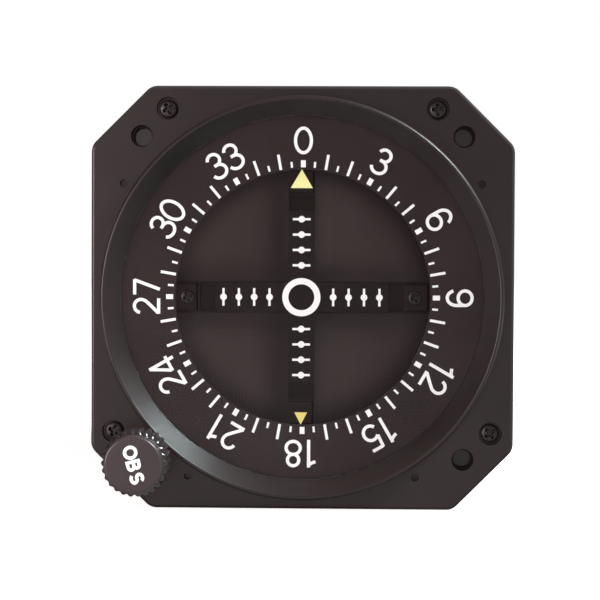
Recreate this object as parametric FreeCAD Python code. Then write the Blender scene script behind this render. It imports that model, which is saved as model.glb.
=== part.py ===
import FreeCAD, Part
import math
import os

# Course deviation indicator for a round 3-1/8 inch panel cut-out, modelled piece by piece.
# Lengths are millimetres. The dial faces -Y, the body reaches back along +Y, +Z is up.
# The origin is on the dial axis, in the flange face that lies against the panel.

# Bezel flange and the raised ring around the dial
bezel_side = 82.55
corner_cut = 11.7
corner_round = 3.0
flange_depth = 5.0
front_edge_round = 0.6
ring_rise = 3.0
ring_margin = 2.375
ring_lip_width = 0.6
ring_lip_bevel = 0.2
cone_width = 2.6
cone_depth = 1.5
glass_seat_depth = 2.0
glass_ledge = 1.3

# Panel mounting and the screws that hold the bezel
hole_inset = 9.84
panel_hole_r = 2.15
insert_depth = 2.4
insert_body_r = 3.2
insert_thread_r = 1.753
bezel_screw_inset = 4.475
bezel_screw_shift = 10.5
counterbore_r = 2.25
counterbore_depth = 2.0
screw_head_r = 1.8
screw_head_height = 1.5
screw_thread_r = 1.1
pin_hole_r = 0.8
pin_hole_depth = 1.6
pin_hole_margin = 2.46
pin_hole_angle = 32.46

# Window
glass_thickness = 1.6
glass_play = 0.2
gasket_thickness = 0.8
gasket_width = 1.3
retainer_width = 1.2

# Course card, its gear and the ring it turns in
card_width = 11.4
card_thickness = 0.7
rim_overlap = 0.3
rim_lip_width = 0.65
rim_web_thickness = 0.9
rim_axial_play = 0.2
running_play = 0.05
frame_ledge_width = 0.5
frame_wall = 2.7
frame_corner_wall = 4.044
dial_frame_depth = 3.9
card_gear_radial = 2.2

# Gear train: card, idler, knob pinion, layshaft and resolver wheel
rim_above_pitch = 2.3
card_teeth = 140
idler_teeth = 18
knob_teeth = 12
lay_teeth = 20
tooth_width = 1.5
tooth_slack = 0.14
gear_side_play = 0.3
pocket_play = 0.35
shaft_r = 1.5
idler_pin_r = 0.8
idler_pin_head_r = 1.4
idler_pin_head_height = 0.5

# Knob
knob_front = 14.0
knob_back = 3.4
knob_cap_height = 2.6
knob_tip_r = 6.45
knob_root_r = 5.95
knob_cap_r = 5.55
knob_cap_bevel = 0.7
knob_ridges = 26
bushing_r = 3.2
bushing_flange_r = 4.4
bushing_flange_rise = 2.6
bushing_seat_depth = 1.2
set_screw_r = 1.0
set_screw_from_back = 2.4
clip_r = 2.6
clip_thickness = 0.5

# Dial mask behind the card and the plate that carries it
mask_overlap = 0.95
mask_gap = 0.5
needle_thickness = 0.3
needle_gap = 0.4
pillow_height = 1.2
pillow_bevel = 1.1
pillow_corner = 2.6
mask_base = 0.9
arm_width_x = 5.3
arm_width_z = 5.9
window_length = 3.1
window_to_block = 0.4
end_block_length = 4.7
end_block_margin = 0.6
end_block_drop = 0.7
mask_screw_inset = 2.0
mask_screw_r = 0.8
mask_screw_head_r = 1.5
mask_screw_head_height = 0.6
flag_space = 1.1
carrier_thickness = 1.0
carrier_ear_width = 6.0
post_r = 1.5
near_post_margin = 4.8
far_post_margin = 11.97
far_post_angle = -38.2

# Needles and the moving-coil carriages that slide them
needle_width = 1.0
needle_short_margin = 6.2
needle_leg_margin = 1.8
needle_leg_thickness = 1.6
needle_leg_width = 2.4
needle_park_margin = 0.4
needle_reach = 15.4
needle_arm_depth = 1.6
drive_depth = 5.0
drive_gap = 0.6
carriage_half = 3.4
carriage_width = 10.6
carriage_to_leg = 4.2
rod_r = 0.8
rod_to_edge = 1.5
magnet_width = 3.6
magnet_depth = 2.0
coil_play = 0.35
coil_wall = 0.6
bracket_thickness = 1.5
bracket_clear = 0.9

# Warning flags and to/from vanes behind the mask windows
vane_thickness = 0.3
vane_arm = 10.5
vane_pad_radial = 2.6
vane_pad_across = 5.0
vane_arm_width = 0.9
vane_retract_deg = 32.0
vane_shaft_r = 0.5
vane_hub_r = 1.0
actuator_r = 3.0
actuator_height = 2.2

# Plates, posts and rods that carry the mechanism
plate_thickness = 2.0
plate_play = 0.5
plate_corner_play = 0.9
plate_window_half = 11.0
frame_post_r = 1.7
corner_post_play = 0.84
side_post_play = 0.3
side_post_height = 18.0
plate_spacing = 6.0
resolver_plate_thickness = 2.5
spacer_shift = 4.0

# Resolver
resolver_gear_thickness = 1.5
resolver_gear_web_r = 31.0
resolver_gear_windows = 6
resolver_hub_r = 4.0
hub_height = 1.2
resolver_r = 13.5
resolver_length = 30.0
resolver_pilot_r = 11.0
groove_depth = 0.7
groove_width = 1.0
groove_from_plate = 1.6
resolver_cleat_count = 3
resolver_cleat_r = 1.3
cleat_distance = 1.9
cleat_washer_r = 2.6
cleat_washer_thickness = 0.8
cleat_head_r = 1.9
cleat_head_height = 1.3
resolver_shaft_grip = 11.5
resolver_bore_spare = 0.5

# Circuit boards on the rods behind the resolver
board_thickness = 1.6
board_play = 2.2
board_corner_play = 3.3
first_board_gap = 8.5
board_gap = 16.4
connector_gap = 19.3
rod_inset = 8.0
rod_shift = 8.0
rear_rod_r = 1.9
converter_cans = [(-14.0, 12.0, 5.0, 12.0), (0.0, 14.0, 5.0, 12.0), (12.0, 13.0, 3.2, 9.0)]
converter_blocks = [(-20.0, 20.0, -20.0, -6.0, 8.0)]
driver_blocks = [(-22.0, -8.0, -4.0, 12.0, 2.4), (2.0, 22.0, 0.0, 14.0, 2.4),
                 (-16.0, -4.0, -24.0, -12.0, 3.0), (4.0, 20.0, -26.0, -12.0, 10.0)]
connector_cans = [(-18.0, 14.0, 3.2, 6.0), (-9.0, 14.0, 3.2, 6.0)]
connector_blocks = [(4.0, 22.0, 6.0, 18.0, 2.4)]

# Case, rear cover and connector
case_wall = 1.2
cover_thickness = 2.0
spigot_length = 1.6
cover_screw_head_r = 2.6
cover_screw_head_height = 1.8
cover_screw_r = 1.3
cover_screw_grip = 6.0
connector_side = 2.9
connector_height = 12.5
connector_flange = 1.0
connector_rise = 6.0
connector_inner_width = 55.4
connector_inner_height = 8.3
connector_shell_wall = 0.6
connector_z = -16.0
jack_offset = 4.05
jack_hex_r = 2.75
jack_length = 4.8
jack_stem_r = 1.42
jack_bore_r = 1.13
jack_floor = 0.2
jack_grip = 2.0
insert_setback = 0.3
insert_neck_inset = 4.0
insert_neck_half = 3.0
insert_shoulder = 3.0
mesh_seat = 0.02

# Radii and half-widths that follow outwards and inwards from the bezel
bezel_half = bezel_side / 2
ring_outer_r = bezel_half - ring_margin
cone_inner_r = ring_outer_r - ring_lip_width - cone_width
glass_seat_r = cone_inner_r + glass_ledge
rim_r = glass_seat_r + rim_overlap
frame_ledge_r = rim_r - frame_ledge_width
card_pitch_r = rim_r - rim_above_pitch
card_gear_bore_r = card_pitch_r - card_gear_radial
tooth_module = 2 * card_pitch_r / card_teeth
card_inner_r = rim_r - rim_lip_width - card_width
mask_r = card_inner_r + mask_overlap
needle_parked = mask_r + needle_park_margin
needle_travel = needle_parked + needle_reach
needle_leg_at = mask_r + needle_leg_margin
needle_short_end = mask_r - needle_short_margin
carriage_high = needle_leg_at - carriage_to_leg
carriage_low = carriage_high - carriage_width
rod_low = carriage_low + rod_to_edge
rod_high = carriage_high - rod_to_edge
magnet_middle = (carriage_low + carriage_high) / 2
end_block_far = mask_r - end_block_margin
end_block_near = end_block_far - end_block_length
window_near = end_block_near - window_to_block - window_length
vane_radius_at = window_near + window_length / 2
mask_screw_x = end_block_near + mask_screw_inset
half_pitch = bezel_half - hole_inset
knob_distance = half_pitch * math.sqrt(2)
case_half = rim_r + frame_wall
case_corner = knob_distance + frame_corner_wall
plate_half = case_half - case_wall - plate_play
plate_corner = case_corner - case_wall - plate_corner_play
board_half = case_half - case_wall - board_play
board_corner = case_corner - case_wall - board_corner_play
jack_spacing = connector_inner_width + 2 * jack_offset
connector_width = jack_spacing + 2 * connector_side

# Depths that follow from the stack, front to back
glass_front = glass_seat_depth
gasket_front = glass_front + glass_thickness
retainer_front = gasket_front + gasket_thickness
rim_front = flange_depth + rim_axial_play
card_front = rim_front + 0.1
web_front = card_front + card_thickness
web_back = web_front + rim_web_thickness
ledge_front = web_back + rim_axial_play
frame_back = flange_depth + dial_frame_depth
tooth_front = ledge_front + 0.1
tooth_back = tooth_front + tooth_width
glide_bar_front = max(frame_back, tooth_back) + needle_gap
course_bar_front = glide_bar_front + needle_thickness + needle_gap
mask_front = course_bar_front + needle_thickness + mask_gap
base_front = mask_front + pillow_height
base_back = base_front + mask_base
carrier_front = base_back + flag_space
carrier_back = carrier_front + carrier_thickness
course_drive_front = carrier_back + actuator_height + drive_gap
glide_drive_front = course_drive_front + drive_depth + drive_gap
plate_front = glide_drive_front + drive_depth + drive_gap
plate_back = plate_front + plate_thickness
resolver_plate_front = plate_back + plate_spacing
resolver_plate_back = resolver_plate_front + resolver_plate_thickness
wheel_front = plate_back + (plate_spacing - resolver_gear_thickness) / 2
wheel_back = wheel_front + resolver_gear_thickness
resolver_back = resolver_plate_back + resolver_length
board_step = board_thickness + board_gap
board_places = [resolver_back + first_board_gap + board_step * number for number in range(3)]
case_back = board_places[-1] + board_thickness + connector_gap
cover_back = case_back + cover_thickness

# Places of the shafts, screws, posts and rods
knob_spot = (-half_pitch, -half_pitch)
idler_pitch_r = idler_teeth * tooth_module / 2
knob_pitch_r = knob_teeth * tooth_module / 2
lay_pitch_r = lay_teeth * tooth_module / 2
idler_distance = card_pitch_r + idler_pitch_r + mesh_seat
idler_reach = idler_pitch_r + knob_pitch_r + mesh_seat
lay_distance = card_pitch_r + lay_pitch_r + mesh_seat
idler_swing = math.degrees(math.acos((knob_distance ** 2 + idler_distance ** 2 - idler_reach ** 2)
                                     / (2 * knob_distance * idler_distance)))
idler_angle = 225.0 + idler_swing
lay_angle = 315.0
bezel_screw_side = bezel_half - bezel_screw_inset
bezel_screw_across = bezel_screw_side - bezel_screw_shift
bezel_screw_spots = [(-bezel_screw_across, bezel_screw_side), (bezel_screw_across, bezel_screw_side),
                     (-bezel_screw_side, -bezel_screw_across), (bezel_screw_side, -bezel_screw_across)]
panel_spots = [(-half_pitch, half_pitch), (half_pitch, half_pitch), (half_pitch, -half_pitch)]
corner_post = (case_corner - 2 * case_wall - frame_post_r - corner_post_play) / math.sqrt(2)
side_post = case_half - 2 * case_wall - frame_post_r - side_post_play
frame_post_spots = [(-corner_post, corner_post), (corner_post, corner_post),
                    (-side_post, -side_post_height), (side_post, -side_post_height)]
rod_z = case_half - rod_inset
rod_x = rod_z - rod_shift
rod_spots = [(-rod_x, rod_z), (rod_x, rod_z), (-rod_x, -rod_z), (rod_x, -rod_z)]
spacer_spots = [(-rod_x, rod_z), (rod_x, rod_z), (-rod_x, -rod_z), (rod_x, -rod_z - spacer_shift)]


def polar(distance, degrees):
    """Point (x, z) at a distance and an angle from +X towards +Z."""
    angle = math.radians(degrees)
    return distance * math.cos(angle), distance * math.sin(angle)


idler_spot = polar(idler_distance, idler_angle)
lay_spot = polar(lay_distance, lay_angle)
near_post = mask_r + near_post_margin
carrier_post_spots = [(-near_post, 0.0), (0.0, -near_post), polar(mask_r + far_post_margin, far_post_angle)]


def disc(radius, front, back, spot=(0.0, 0.0)):
    """Cylinder along +Y between two depths."""
    base = FreeCAD.Vector(spot[0], front, spot[1])
    return Part.makeCylinder(radius, back - front, base, FreeCAD.Vector(0, 1, 0))


def tube(outer, inner, front, back, spot=(0.0, 0.0)):
    """Ring along +Y between two depths."""
    return disc(outer, front, back, spot).cut(disc(inner, front - 1, back + 1, spot))


def block(x_range, y_range, z_range):
    """Box between two corners."""
    size = [high - low for low, high in (x_range, y_range, z_range)]
    corner = FreeCAD.Vector(x_range[0], y_range[0], z_range[0])
    return Part.makeBox(size[0], size[1], size[2], corner)


def prism(points, front, back):
    """Straight prism along +Y over a polygon of (x, z) points."""
    loop = [FreeCAD.Vector(x, front, z) for x, z in points]
    face = Part.Face(Part.makePolygon(loop + loop[:1]))
    return face.extrude(FreeCAD.Vector(0, back - front, 0))


def octagon(half, corner, front, back):
    """Square of half-width half with its corners cut at a distance corner from the axis."""
    short = corner * math.sqrt(2) - half
    points = [(half, short), (short, half), (-short, half), (-half, short),
              (-half, -short), (-short, -half), (short, -half), (half, -short)]
    return prism(points, front, back)


def turned(profile):
    """Solid of revolution about the dial axis from (radius, depth) points."""
    loop = [FreeCAD.Vector(radius, depth, 0) for radius, depth in profile]
    face = Part.Face(Part.makePolygon(loop + loop[:1]))
    return face.revolve(FreeCAD.Vector(0, 0, 0), FreeCAD.Vector(0, 1, 0), 360)


def joined(shapes):
    """One solid out of overlapping or touching solids."""
    return shapes[0].fuse(shapes[1:]).removeSplitter()


def about_dial(shape, degrees):
    """Copy turned about the dial axis, from +X towards +Z."""
    copy = shape.copy()
    copy.rotate(FreeCAD.Vector(0, 0, 0), FreeCAD.Vector(0, -1, 0), degrees)
    return copy


def save(name, shape):
    """Write one named piece, or a group of like pieces."""
    if isinstance(shape, list):
        shape = Part.makeCompound(shape)
    shape.exportStep("parts/" + name + ".step")


def gear_blank(teeth, phase, front, back, spot=(0.0, 0.0)):
    """Spur gear body: straight-flanked teeth cut at a 20 degree pressure angle."""
    pitch_r = teeth * tooth_module / 2
    tip_r = pitch_r + 0.9 * tooth_module
    root_r = pitch_r - 1.25 * tooth_module
    lean = math.tan(math.radians(20))
    half = math.pi * tooth_module / 4 - tooth_slack / 2
    tip_half = (half - 0.9 * tooth_module * lean) / tip_r
    root_half = (half + 1.1 * tooth_module * lean) / root_r
    points = []
    for tooth in range(teeth):
        middle = math.radians(phase) + 2 * math.pi * tooth / teeth
        for radius, turn in ((root_r, -root_half), (tip_r, -tip_half), (tip_r, tip_half), (root_r, root_half)):
            points.append((spot[0] + radius * math.cos(middle + turn),
                           spot[1] + radius * math.sin(middle + turn)))
    return prism(points, front, back)


def meshing_phase(teeth, phase, partner_teeth, direction):
    """Phase of a partner gear whose gap faces a tooth of the first gear in that direction."""
    share = (direction - phase) * teeth / 360.0
    return direction + 180.0 - (0.5 - share) * 360.0 / partner_teeth


def screw(head_r, head_height, thread_r, head_front, tip, spot):
    """Pan-head screw along +Y, bevelled at the crown."""
    head = disc(head_r, head_front, head_front + head_height, spot)
    rim = [edge for edge in head.Edges if edge.BoundBox.YMax < head_front + 0.01]
    head = head.makeChamfer(head_height * 0.3, rim)
    return joined([head, disc(thread_r, head_front + head_height - 0.01, tip, spot)])


def make_bezel():
    """Die-cast flange with the raised ring, the conical recess and every hole through it."""
    half = bezel_side / 2
    flange = octagon(half, (2 * half - corner_cut) / math.sqrt(2), 0, flange_depth)
    uprights = [edge for edge in flange.Edges if edge.BoundBox.YLength > flange_depth - 0.01]
    flange = flange.makeFillet(corner_round, uprights)
    front = [edge for edge in flange.Edges if edge.BoundBox.YMax < 0.001]
    flange = flange.makeFillet(front_edge_round, front)
    lip_inner = ring_outer_r - ring_lip_width
    ring = turned([(0, -ring_rise), (ring_outer_r - ring_lip_bevel, -ring_rise),
                   (ring_outer_r, -ring_rise + ring_lip_bevel), (ring_outer_r, flange_depth), (0, flange_depth)])
    body = joined([flange, ring])
    recess = turned([(0, -ring_rise - 1), (lip_inner + ring_lip_bevel, -ring_rise - 1),
                     (lip_inner + ring_lip_bevel, -ring_rise), (lip_inner, -ring_rise + ring_lip_bevel),
                     (cone_inner_r, cone_depth), (cone_inner_r, glass_seat_depth),
                     (glass_seat_r, glass_seat_depth), (glass_seat_r, flange_depth + 1), (0, flange_depth + 1)])
    body = body.cut(recess)
    cuts = []
    for spot in panel_spots:
        cuts.append(disc(panel_hole_r, -1, flange_depth + 1, spot))
        cuts.append(disc(insert_body_r, insert_depth, flange_depth + 1, spot))
    for spot in bezel_screw_spots:
        cuts.append(disc(counterbore_r, -1, counterbore_depth, spot))
        cuts.append(disc(screw_thread_r + 0.2, 0, flange_depth + 1, spot))
    for angle in (pin_hole_angle, 180 - pin_hole_angle, pin_hole_angle - 90, -90 - pin_hole_angle):
        cuts.append(disc(pin_hole_r, -1, pin_hole_depth, polar(ring_outer_r + pin_hole_margin, angle)))
    cuts.append(disc(bushing_r, -1, flange_depth + 1, knob_spot))
    cuts.append(disc(bushing_flange_r + running_play, -1, bushing_seat_depth, knob_spot))
    return body.cut(cuts)


def make_inserts():
    """Steel nuts pressed into the back of the flange for the panel screws."""
    return [tube(insert_body_r, insert_thread_r, insert_depth, flange_depth, spot) for spot in panel_spots]


def make_dial_frame():
    """Octagonal ring plate: outer bearing for the card gear, pockets for the small gears."""
    body = octagon(case_half, case_corner, flange_depth, frame_back)
    spigot = octagon(case_half - case_wall - running_play, case_corner - case_wall - running_play,
                     frame_back - 0.01, frame_back + spigot_length)
    spigot = spigot.cut(octagon(case_half - 2 * case_wall, case_corner - 2 * case_wall,
                                frame_back - 1, frame_back + spigot_length + 1))
    body = joined([body, spigot])
    cuts = [disc(rim_r + running_play, flange_depth - 1, ledge_front), disc(frame_ledge_r, 0, frame_back + 5)]
    tip = 0.9 * tooth_module + pocket_play
    for spot, pitch_r in ((idler_spot, idler_pitch_r), (knob_spot, knob_pitch_r), (lay_spot, lay_pitch_r)):
        cuts.append(disc(pitch_r + tip, ledge_front - gear_side_play, frame_back + 5, spot))
    cuts.append(disc(shaft_r + running_play, flange_depth - 1, frame_back, knob_spot))
    cuts.append(disc(shaft_r + running_play, flange_depth - 1, frame_back, lay_spot))
    cuts.append(disc(idler_pin_r, flange_depth - 1, frame_back, idler_spot))
    for spot in bezel_screw_spots:
        cuts.append(disc(screw_thread_r, flange_depth - 1, frame_back - 0.6, spot))
    return body.cut(cuts)


def make_card_gear(phase):
    """Ring that carries the card: smooth rim in the bearing, lip round the card, teeth behind."""
    parts = [tube(rim_r, card_gear_bore_r, web_front, web_back),
             tube(rim_r, rim_r - rim_lip_width, rim_front, web_front + 0.01),
             gear_blank(card_teeth, phase, web_back - 0.01, tooth_back)]
    return joined(parts).cut(disc(card_gear_bore_r, 0, tooth_back + 1))


def knob_profile():
    """Outline of the grip: ridges round the knob with flat roots."""
    points = []
    for ridge in range(knob_ridges):
        for share, radius in ((0.0, knob_root_r), (0.3, knob_root_r), (0.5, knob_tip_r), (0.8, knob_tip_r)):
            x, z = polar(radius, (ridge + share) * 360.0 / knob_ridges)
            points.append((knob_spot[0] + x, knob_spot[1] + z))
    return points


def make_knob():
    """Moulded knob with a ridged grip, a rounded cap and a blind bore."""
    shoulder = -knob_front + knob_cap_height
    grip = prism(knob_profile(), shoulder, -knob_back)
    cap = disc(knob_cap_r, -knob_front, shoulder + 0.01, knob_spot)
    front = [edge for edge in cap.Edges if edge.BoundBox.YMax < -knob_front + 0.001]
    body = joined([grip, cap.makeChamfer(knob_cap_bevel, front)])
    bore = disc(shaft_r, shoulder, 0, knob_spot)
    screw_hole = Part.makeCylinder(set_screw_r, knob_tip_r + 1,
                                   FreeCAD.Vector(knob_spot[0], -knob_back - set_screw_from_back, knob_spot[1]),
                                   FreeCAD.Vector(-1, 0, -1))
    return body.cut([bore, screw_hole])


def make_set_screw():
    """Headless screw that clamps the knob to its shaft."""
    along = FreeCAD.Vector(-1, 0, -1).normalize()
    start = FreeCAD.Vector(knob_spot[0], -knob_back - set_screw_from_back, knob_spot[1])
    body = Part.makeCylinder(set_screw_r, knob_root_r - 0.3, start, along)
    return body.cut(disc(shaft_r, -knob_front, 0, knob_spot))


def make_mask():
    """Fixed mask: four domed fields between a cross of sunk strips with four windows."""
    base = disc(mask_r, base_front, base_back)
    half_x = arm_width_x / 2
    half_z = arm_width_z / 2
    field = disc(mask_r - 0.35, mask_front, base_front + 0.01)
    field = field.common(block((half_x, mask_r), (mask_front, base_front + 0.01), (half_z, mask_r)))
    inner = [edge for edge in field.Edges if edge.BoundBox.YLength > pillow_height * 0.9
             and edge.BoundBox.XMax < half_x + 0.01 and edge.BoundBox.ZMax < half_z + 0.01]
    field = field.makeFillet(pillow_corner, inner)
    rim = [edge for edge in field.Edges if edge.BoundBox.YMax < mask_front + 0.001]
    field = field.makeChamfer(pillow_bevel, rim)
    across = FreeCAD.Vector(1, 0, 0)
    up = FreeCAD.Vector(0, 0, 1)
    middle = FreeCAD.Vector(0, 0, 0)
    fields = [field, field.mirror(middle, across), field.mirror(middle, up),
              field.mirror(middle, across).mirror(middle, up)]
    blocks = []
    cuts = []
    for turn, width in ((0, arm_width_z), (90, arm_width_x), (180, arm_width_z), (270, arm_width_x)):
        half = width / 2 - 0.25
        rise = block((end_block_near, end_block_far), (mask_front + end_block_drop, base_front + 0.01), (-half, half))
        blocks.append(about_dial(rise, turn))
        hole = block((window_near, window_near + window_length), (0, base_back + 1), (-half, half))
        cuts.append(about_dial(hole, turn))
    for x in (-mask_screw_x, mask_screw_x):
        cuts.append(disc(mask_screw_r, 0, base_back + 1, (x, 0.0)))
    return joined([base] + fields + blocks).cut(cuts)


def make_carrier():
    """Plate behind the mask with two bosses for its screws and three ears on the posts."""
    parts = [disc(mask_r - 0.6, carrier_front, carrier_back)]
    cuts = []
    for x in (-mask_screw_x, mask_screw_x):
        parts.append(disc(mask_screw_head_r, base_back, carrier_back, (x, 0.0)))
        cuts.append(disc(mask_screw_r, 0, carrier_back + 1, (x, 0.0)))
    for spot in carrier_post_spots:
        reach = math.hypot(spot[0], spot[1])
        ear = block((0, reach), (carrier_front, carrier_back), (-carrier_ear_width / 2, carrier_ear_width / 2))
        parts.append(about_dial(ear, math.degrees(math.atan2(spot[1], spot[0]))))
        parts.append(disc(carrier_ear_width / 2, carrier_front, carrier_back, spot))
    for turn in range(4):
        x, z = vane_pivot(turn)
        cuts.append(disc(vane_shaft_r + running_play, 0, carrier_back + 1, (x, z)))
    return joined(parts).cut(cuts)


def vane_pivot(turn):
    """Pivot (x, z) of the vane that serves the window turned by quarter turns from +X."""
    angle = math.radians(90 * turn)
    x, z = vane_radius_at, -vane_arm
    return x * math.cos(angle) - z * math.sin(angle), x * math.sin(angle) + z * math.cos(angle)


def make_vane(turn):
    """Flag vane swung clear of its window: hub and shaft, slim arm and painted pad."""
    front = base_back + (flag_space - vane_thickness) / 2
    back = front + vane_thickness
    hub = disc(vane_hub_r, front, back, (vane_radius_at, -vane_arm))
    shaft = disc(vane_shaft_r, back - 0.01, carrier_back + actuator_height * 0.6, (vane_radius_at, -vane_arm))
    half_arm = vane_arm_width / 2
    arm = block((vane_radius_at - half_arm, vane_radius_at + half_arm), (front, back), (-vane_arm, 0))
    pad = block((vane_radius_at - vane_pad_radial / 2, vane_radius_at + vane_pad_radial / 2),
                (front, back), (-vane_pad_across / 2, vane_pad_across / 2))
    vane = joined([hub, shaft, arm, pad])
    vane.rotate(FreeCAD.Vector(vane_radius_at, 0, -vane_arm), FreeCAD.Vector(0, -1, 0), vane_retract_deg)
    return about_dial(vane, 90 * turn)


def make_actuators():
    """Small coil housings behind the carrier, one round each vane shaft."""
    housings = []
    for turn in range(4):
        spot = vane_pivot(turn)
        housing = disc(actuator_r, carrier_back, carrier_back + actuator_height, spot)
        bore = disc(vane_shaft_r + running_play, carrier_back - 1, carrier_back + actuator_height * 0.75, spot)
        housings.append(housing.cut(bore))
    return housings


def needle_drive(bar_front, drive_front, far_bracket):
    """Needle parked off the dial and its slide, for travel along +X with the leg at +Z."""
    drive_middle = drive_front + drive_depth / 2
    parked = -needle_parked
    arm_back = drive_front + needle_arm_depth
    leg_low = needle_leg_at - needle_leg_thickness / 2
    leg_high = needle_leg_at + needle_leg_thickness / 2
    bar = block((parked - needle_width / 2, parked + needle_width / 2),
                (bar_front, bar_front + needle_thickness), (-needle_short_end, leg_high))
    foot = (parked - needle_leg_width / 2, parked + needle_leg_width / 2)
    leg = block(foot, (bar_front, arm_back), (leg_low, leg_high))
    arm = block(foot, (drive_front, arm_back), (carriage_high, leg_high))
    needle = joined([bar, leg, arm])

    carriage = block((parked - carriage_half, parked + carriage_half),
                     (drive_front, drive_front + drive_depth), (carriage_low, carriage_high))
    coil_half_depth = magnet_depth / 2 + coil_play + coil_wall
    coil_half_width = magnet_width / 2 + coil_play + coil_wall
    through = (parked - carriage_half - 1, parked + carriage_half + 1)
    room = block(through, (drive_middle - coil_half_depth, drive_middle + coil_half_depth),
                 (magnet_middle - coil_half_width, magnet_middle + coil_half_width))
    bores = [Part.makeCylinder(rod_r + running_play, through[1] - through[0],
                               FreeCAD.Vector(through[0], drive_middle, z), FreeCAD.Vector(1, 0, 0))
             for z in (rod_low, rod_high)]
    carriage = carriage.cut([room] + bores)
    coil = room.common(block((parked - carriage_half + 0.4, parked + carriage_half - 0.4),
                             (drive_front, drive_front + drive_depth), (carriage_low, carriage_high)))
    window = block(through,
                   (drive_middle - magnet_depth / 2 - coil_play, drive_middle + magnet_depth / 2 + coil_play),
                   (magnet_middle - magnet_width / 2 - coil_play, magnet_middle + magnet_width / 2 + coil_play))
    coil = coil.cut(window)

    left = parked - carriage_half - bracket_clear - bracket_thickness
    right = parked + needle_travel + carriage_half + bracket_clear
    span = (left, right + bracket_thickness)
    rods = [Part.makeCylinder(rod_r, span[1] - span[0], FreeCAD.Vector(span[0], drive_middle, z),
                              FreeCAD.Vector(1, 0, 0)) for z in (rod_low, rod_high)]
    magnet = block(span, (drive_middle - magnet_depth / 2, drive_middle + magnet_depth / 2),
                   (magnet_middle - magnet_width / 2, magnet_middle + magnet_width / 2))
    brackets = []
    for start, depths in ((left, (drive_front, plate_front)), (right, far_bracket)):
        bracket = block((start, start + bracket_thickness), depths, (carriage_low, carriage_high))
        brackets.append(bracket.cut(rods + [magnet]))
    return {"needle": needle, "carriage": carriage, "coil": coil, "guide_rods": rods,
            "magnet_bars": [magnet], "drive_brackets": brackets}


def make_mechanism_plate():
    """Plate that carries both needle drives, bored for posts and the layshaft."""
    body = octagon(plate_half, plate_corner, plate_front, plate_back)
    cuts = [disc(shaft_r * 2, plate_front - 1, plate_back + 1, lay_spot)]
    cuts.append(octagon(plate_window_half, plate_window_half * 1.25, plate_front - 1, plate_back + 1))
    return body.cut(cuts)


def make_resolver_plate():
    """Plate behind the wheel with the resolver pilot bore."""
    body = octagon(plate_half, plate_corner, resolver_plate_front, resolver_plate_back)
    return body.cut([disc(resolver_pilot_r, 0, resolver_plate_back + 1),
                     disc(shaft_r * 2, 0, resolver_plate_back + 1, lay_spot)])


def make_resolver_gear(phase):
    """Wheel on the resolver shaft with windows between its spokes."""
    body = gear_blank(card_teeth, phase, wheel_front, wheel_back)
    step = 360.0 / resolver_gear_windows
    ring = tube(resolver_gear_web_r, resolver_hub_r * 2.2, wheel_front - 1, wheel_back + 1)
    cuts = []
    for spoke in range(resolver_gear_windows):
        points = [(0, 0), polar(60, spoke * step + 9), polar(60, (spoke + 1) * step - 9)]
        cuts.append(ring.common(prism(points, wheel_front - 1, wheel_back + 1)))
    cuts.append(disc(shaft_r, 0, wheel_back + 1))
    return body.cut(cuts)


def make_resolver():
    """Resolver can with a pilot in the plate and a bore for its shaft."""
    body = joined([disc(resolver_r, resolver_plate_back, resolver_back),
                   disc(resolver_pilot_r, resolver_plate_front, resolver_plate_back + 0.01)])
    back = [edge for edge in body.Edges if edge.BoundBox.YMin > resolver_back - 0.001]
    body = body.makeChamfer(groove_depth, back)
    groove_front = resolver_plate_back + groove_from_plate
    groove = tube(resolver_r + 1, resolver_r - groove_depth, groove_front, groove_front + groove_width)
    bore = disc(shaft_r + running_play, 0, resolver_plate_back + resolver_shaft_grip + resolver_bore_spare)
    return body.cut([groove, bore])


def make_cleats():
    """Screwed cleats that hold the resolver by its groove."""
    cleats = []
    washer_front = resolver_plate_back + groove_from_plate + (groove_width - cleat_washer_thickness) / 2
    washer_back = washer_front + cleat_washer_thickness
    for number in range(resolver_cleat_count):
        spot = polar(resolver_r + cleat_distance, 90 + number * 360.0 / resolver_cleat_count)
        washer = disc(cleat_washer_r, washer_front, washer_back, spot)
        head = disc(cleat_head_r, washer_back, washer_back + cleat_head_height, spot)
        stem = disc(resolver_cleat_r, resolver_plate_back, washer_front + 0.01, spot)
        cleats.append(joined([washer, head, stem]).cut(disc(resolver_r - groove_depth + running_play, 0, 200)))
    return cleats


def make_case():
    """Octagonal sleeve from the dial frame to the rear cover."""
    outer = octagon(case_half, case_corner, frame_back, case_back)
    return outer.cut(octagon(case_half - case_wall, case_corner - case_wall, frame_back - 1, case_back + 1))


def connector_outline(width, height, front, back, slant=10.0):
    """D-shaped prism: the upper side is wider than the lower one."""
    inset = height * math.tan(math.radians(slant))
    half = width / 2
    points = [(-half, connector_z + height / 2), (half, connector_z + height / 2),
              (half - inset, connector_z - height / 2), (-half + inset, connector_z - height / 2)]
    return prism(points, front, back)


def make_cover():
    """Rear cover plate with the connector opening and four screw holes."""
    body = octagon(case_half, case_corner, case_back, cover_back)
    cuts = [connector_outline(connector_inner_width + 2 * connector_shell_wall,
                              connector_inner_height + 2 * connector_shell_wall, case_back - 1, cover_back + 1)]
    for spot in rod_spots:
        cuts.append(disc(cover_screw_r, case_back - 1, cover_back + 1, spot))
    for x in (-jack_spacing / 2, jack_spacing / 2):
        cuts.append(disc(jack_stem_r, case_back - 1, cover_back + 1, (x, connector_z)))
    return body.cut(cuts)


def make_cover_screws():
    """Screws through the cover into the rear rods."""
    screws = []
    for x, z in rod_spots:
        front = screw(cover_screw_head_r, cover_screw_head_height, cover_screw_r,
                      -cover_back - cover_screw_head_height, cover_screw_grip - case_back, (-x, z))
        front.rotate(FreeCAD.Vector(0, 0, 0), FreeCAD.Vector(0, 0, 1), 180)
        screws.append(front)
    return screws


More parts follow.
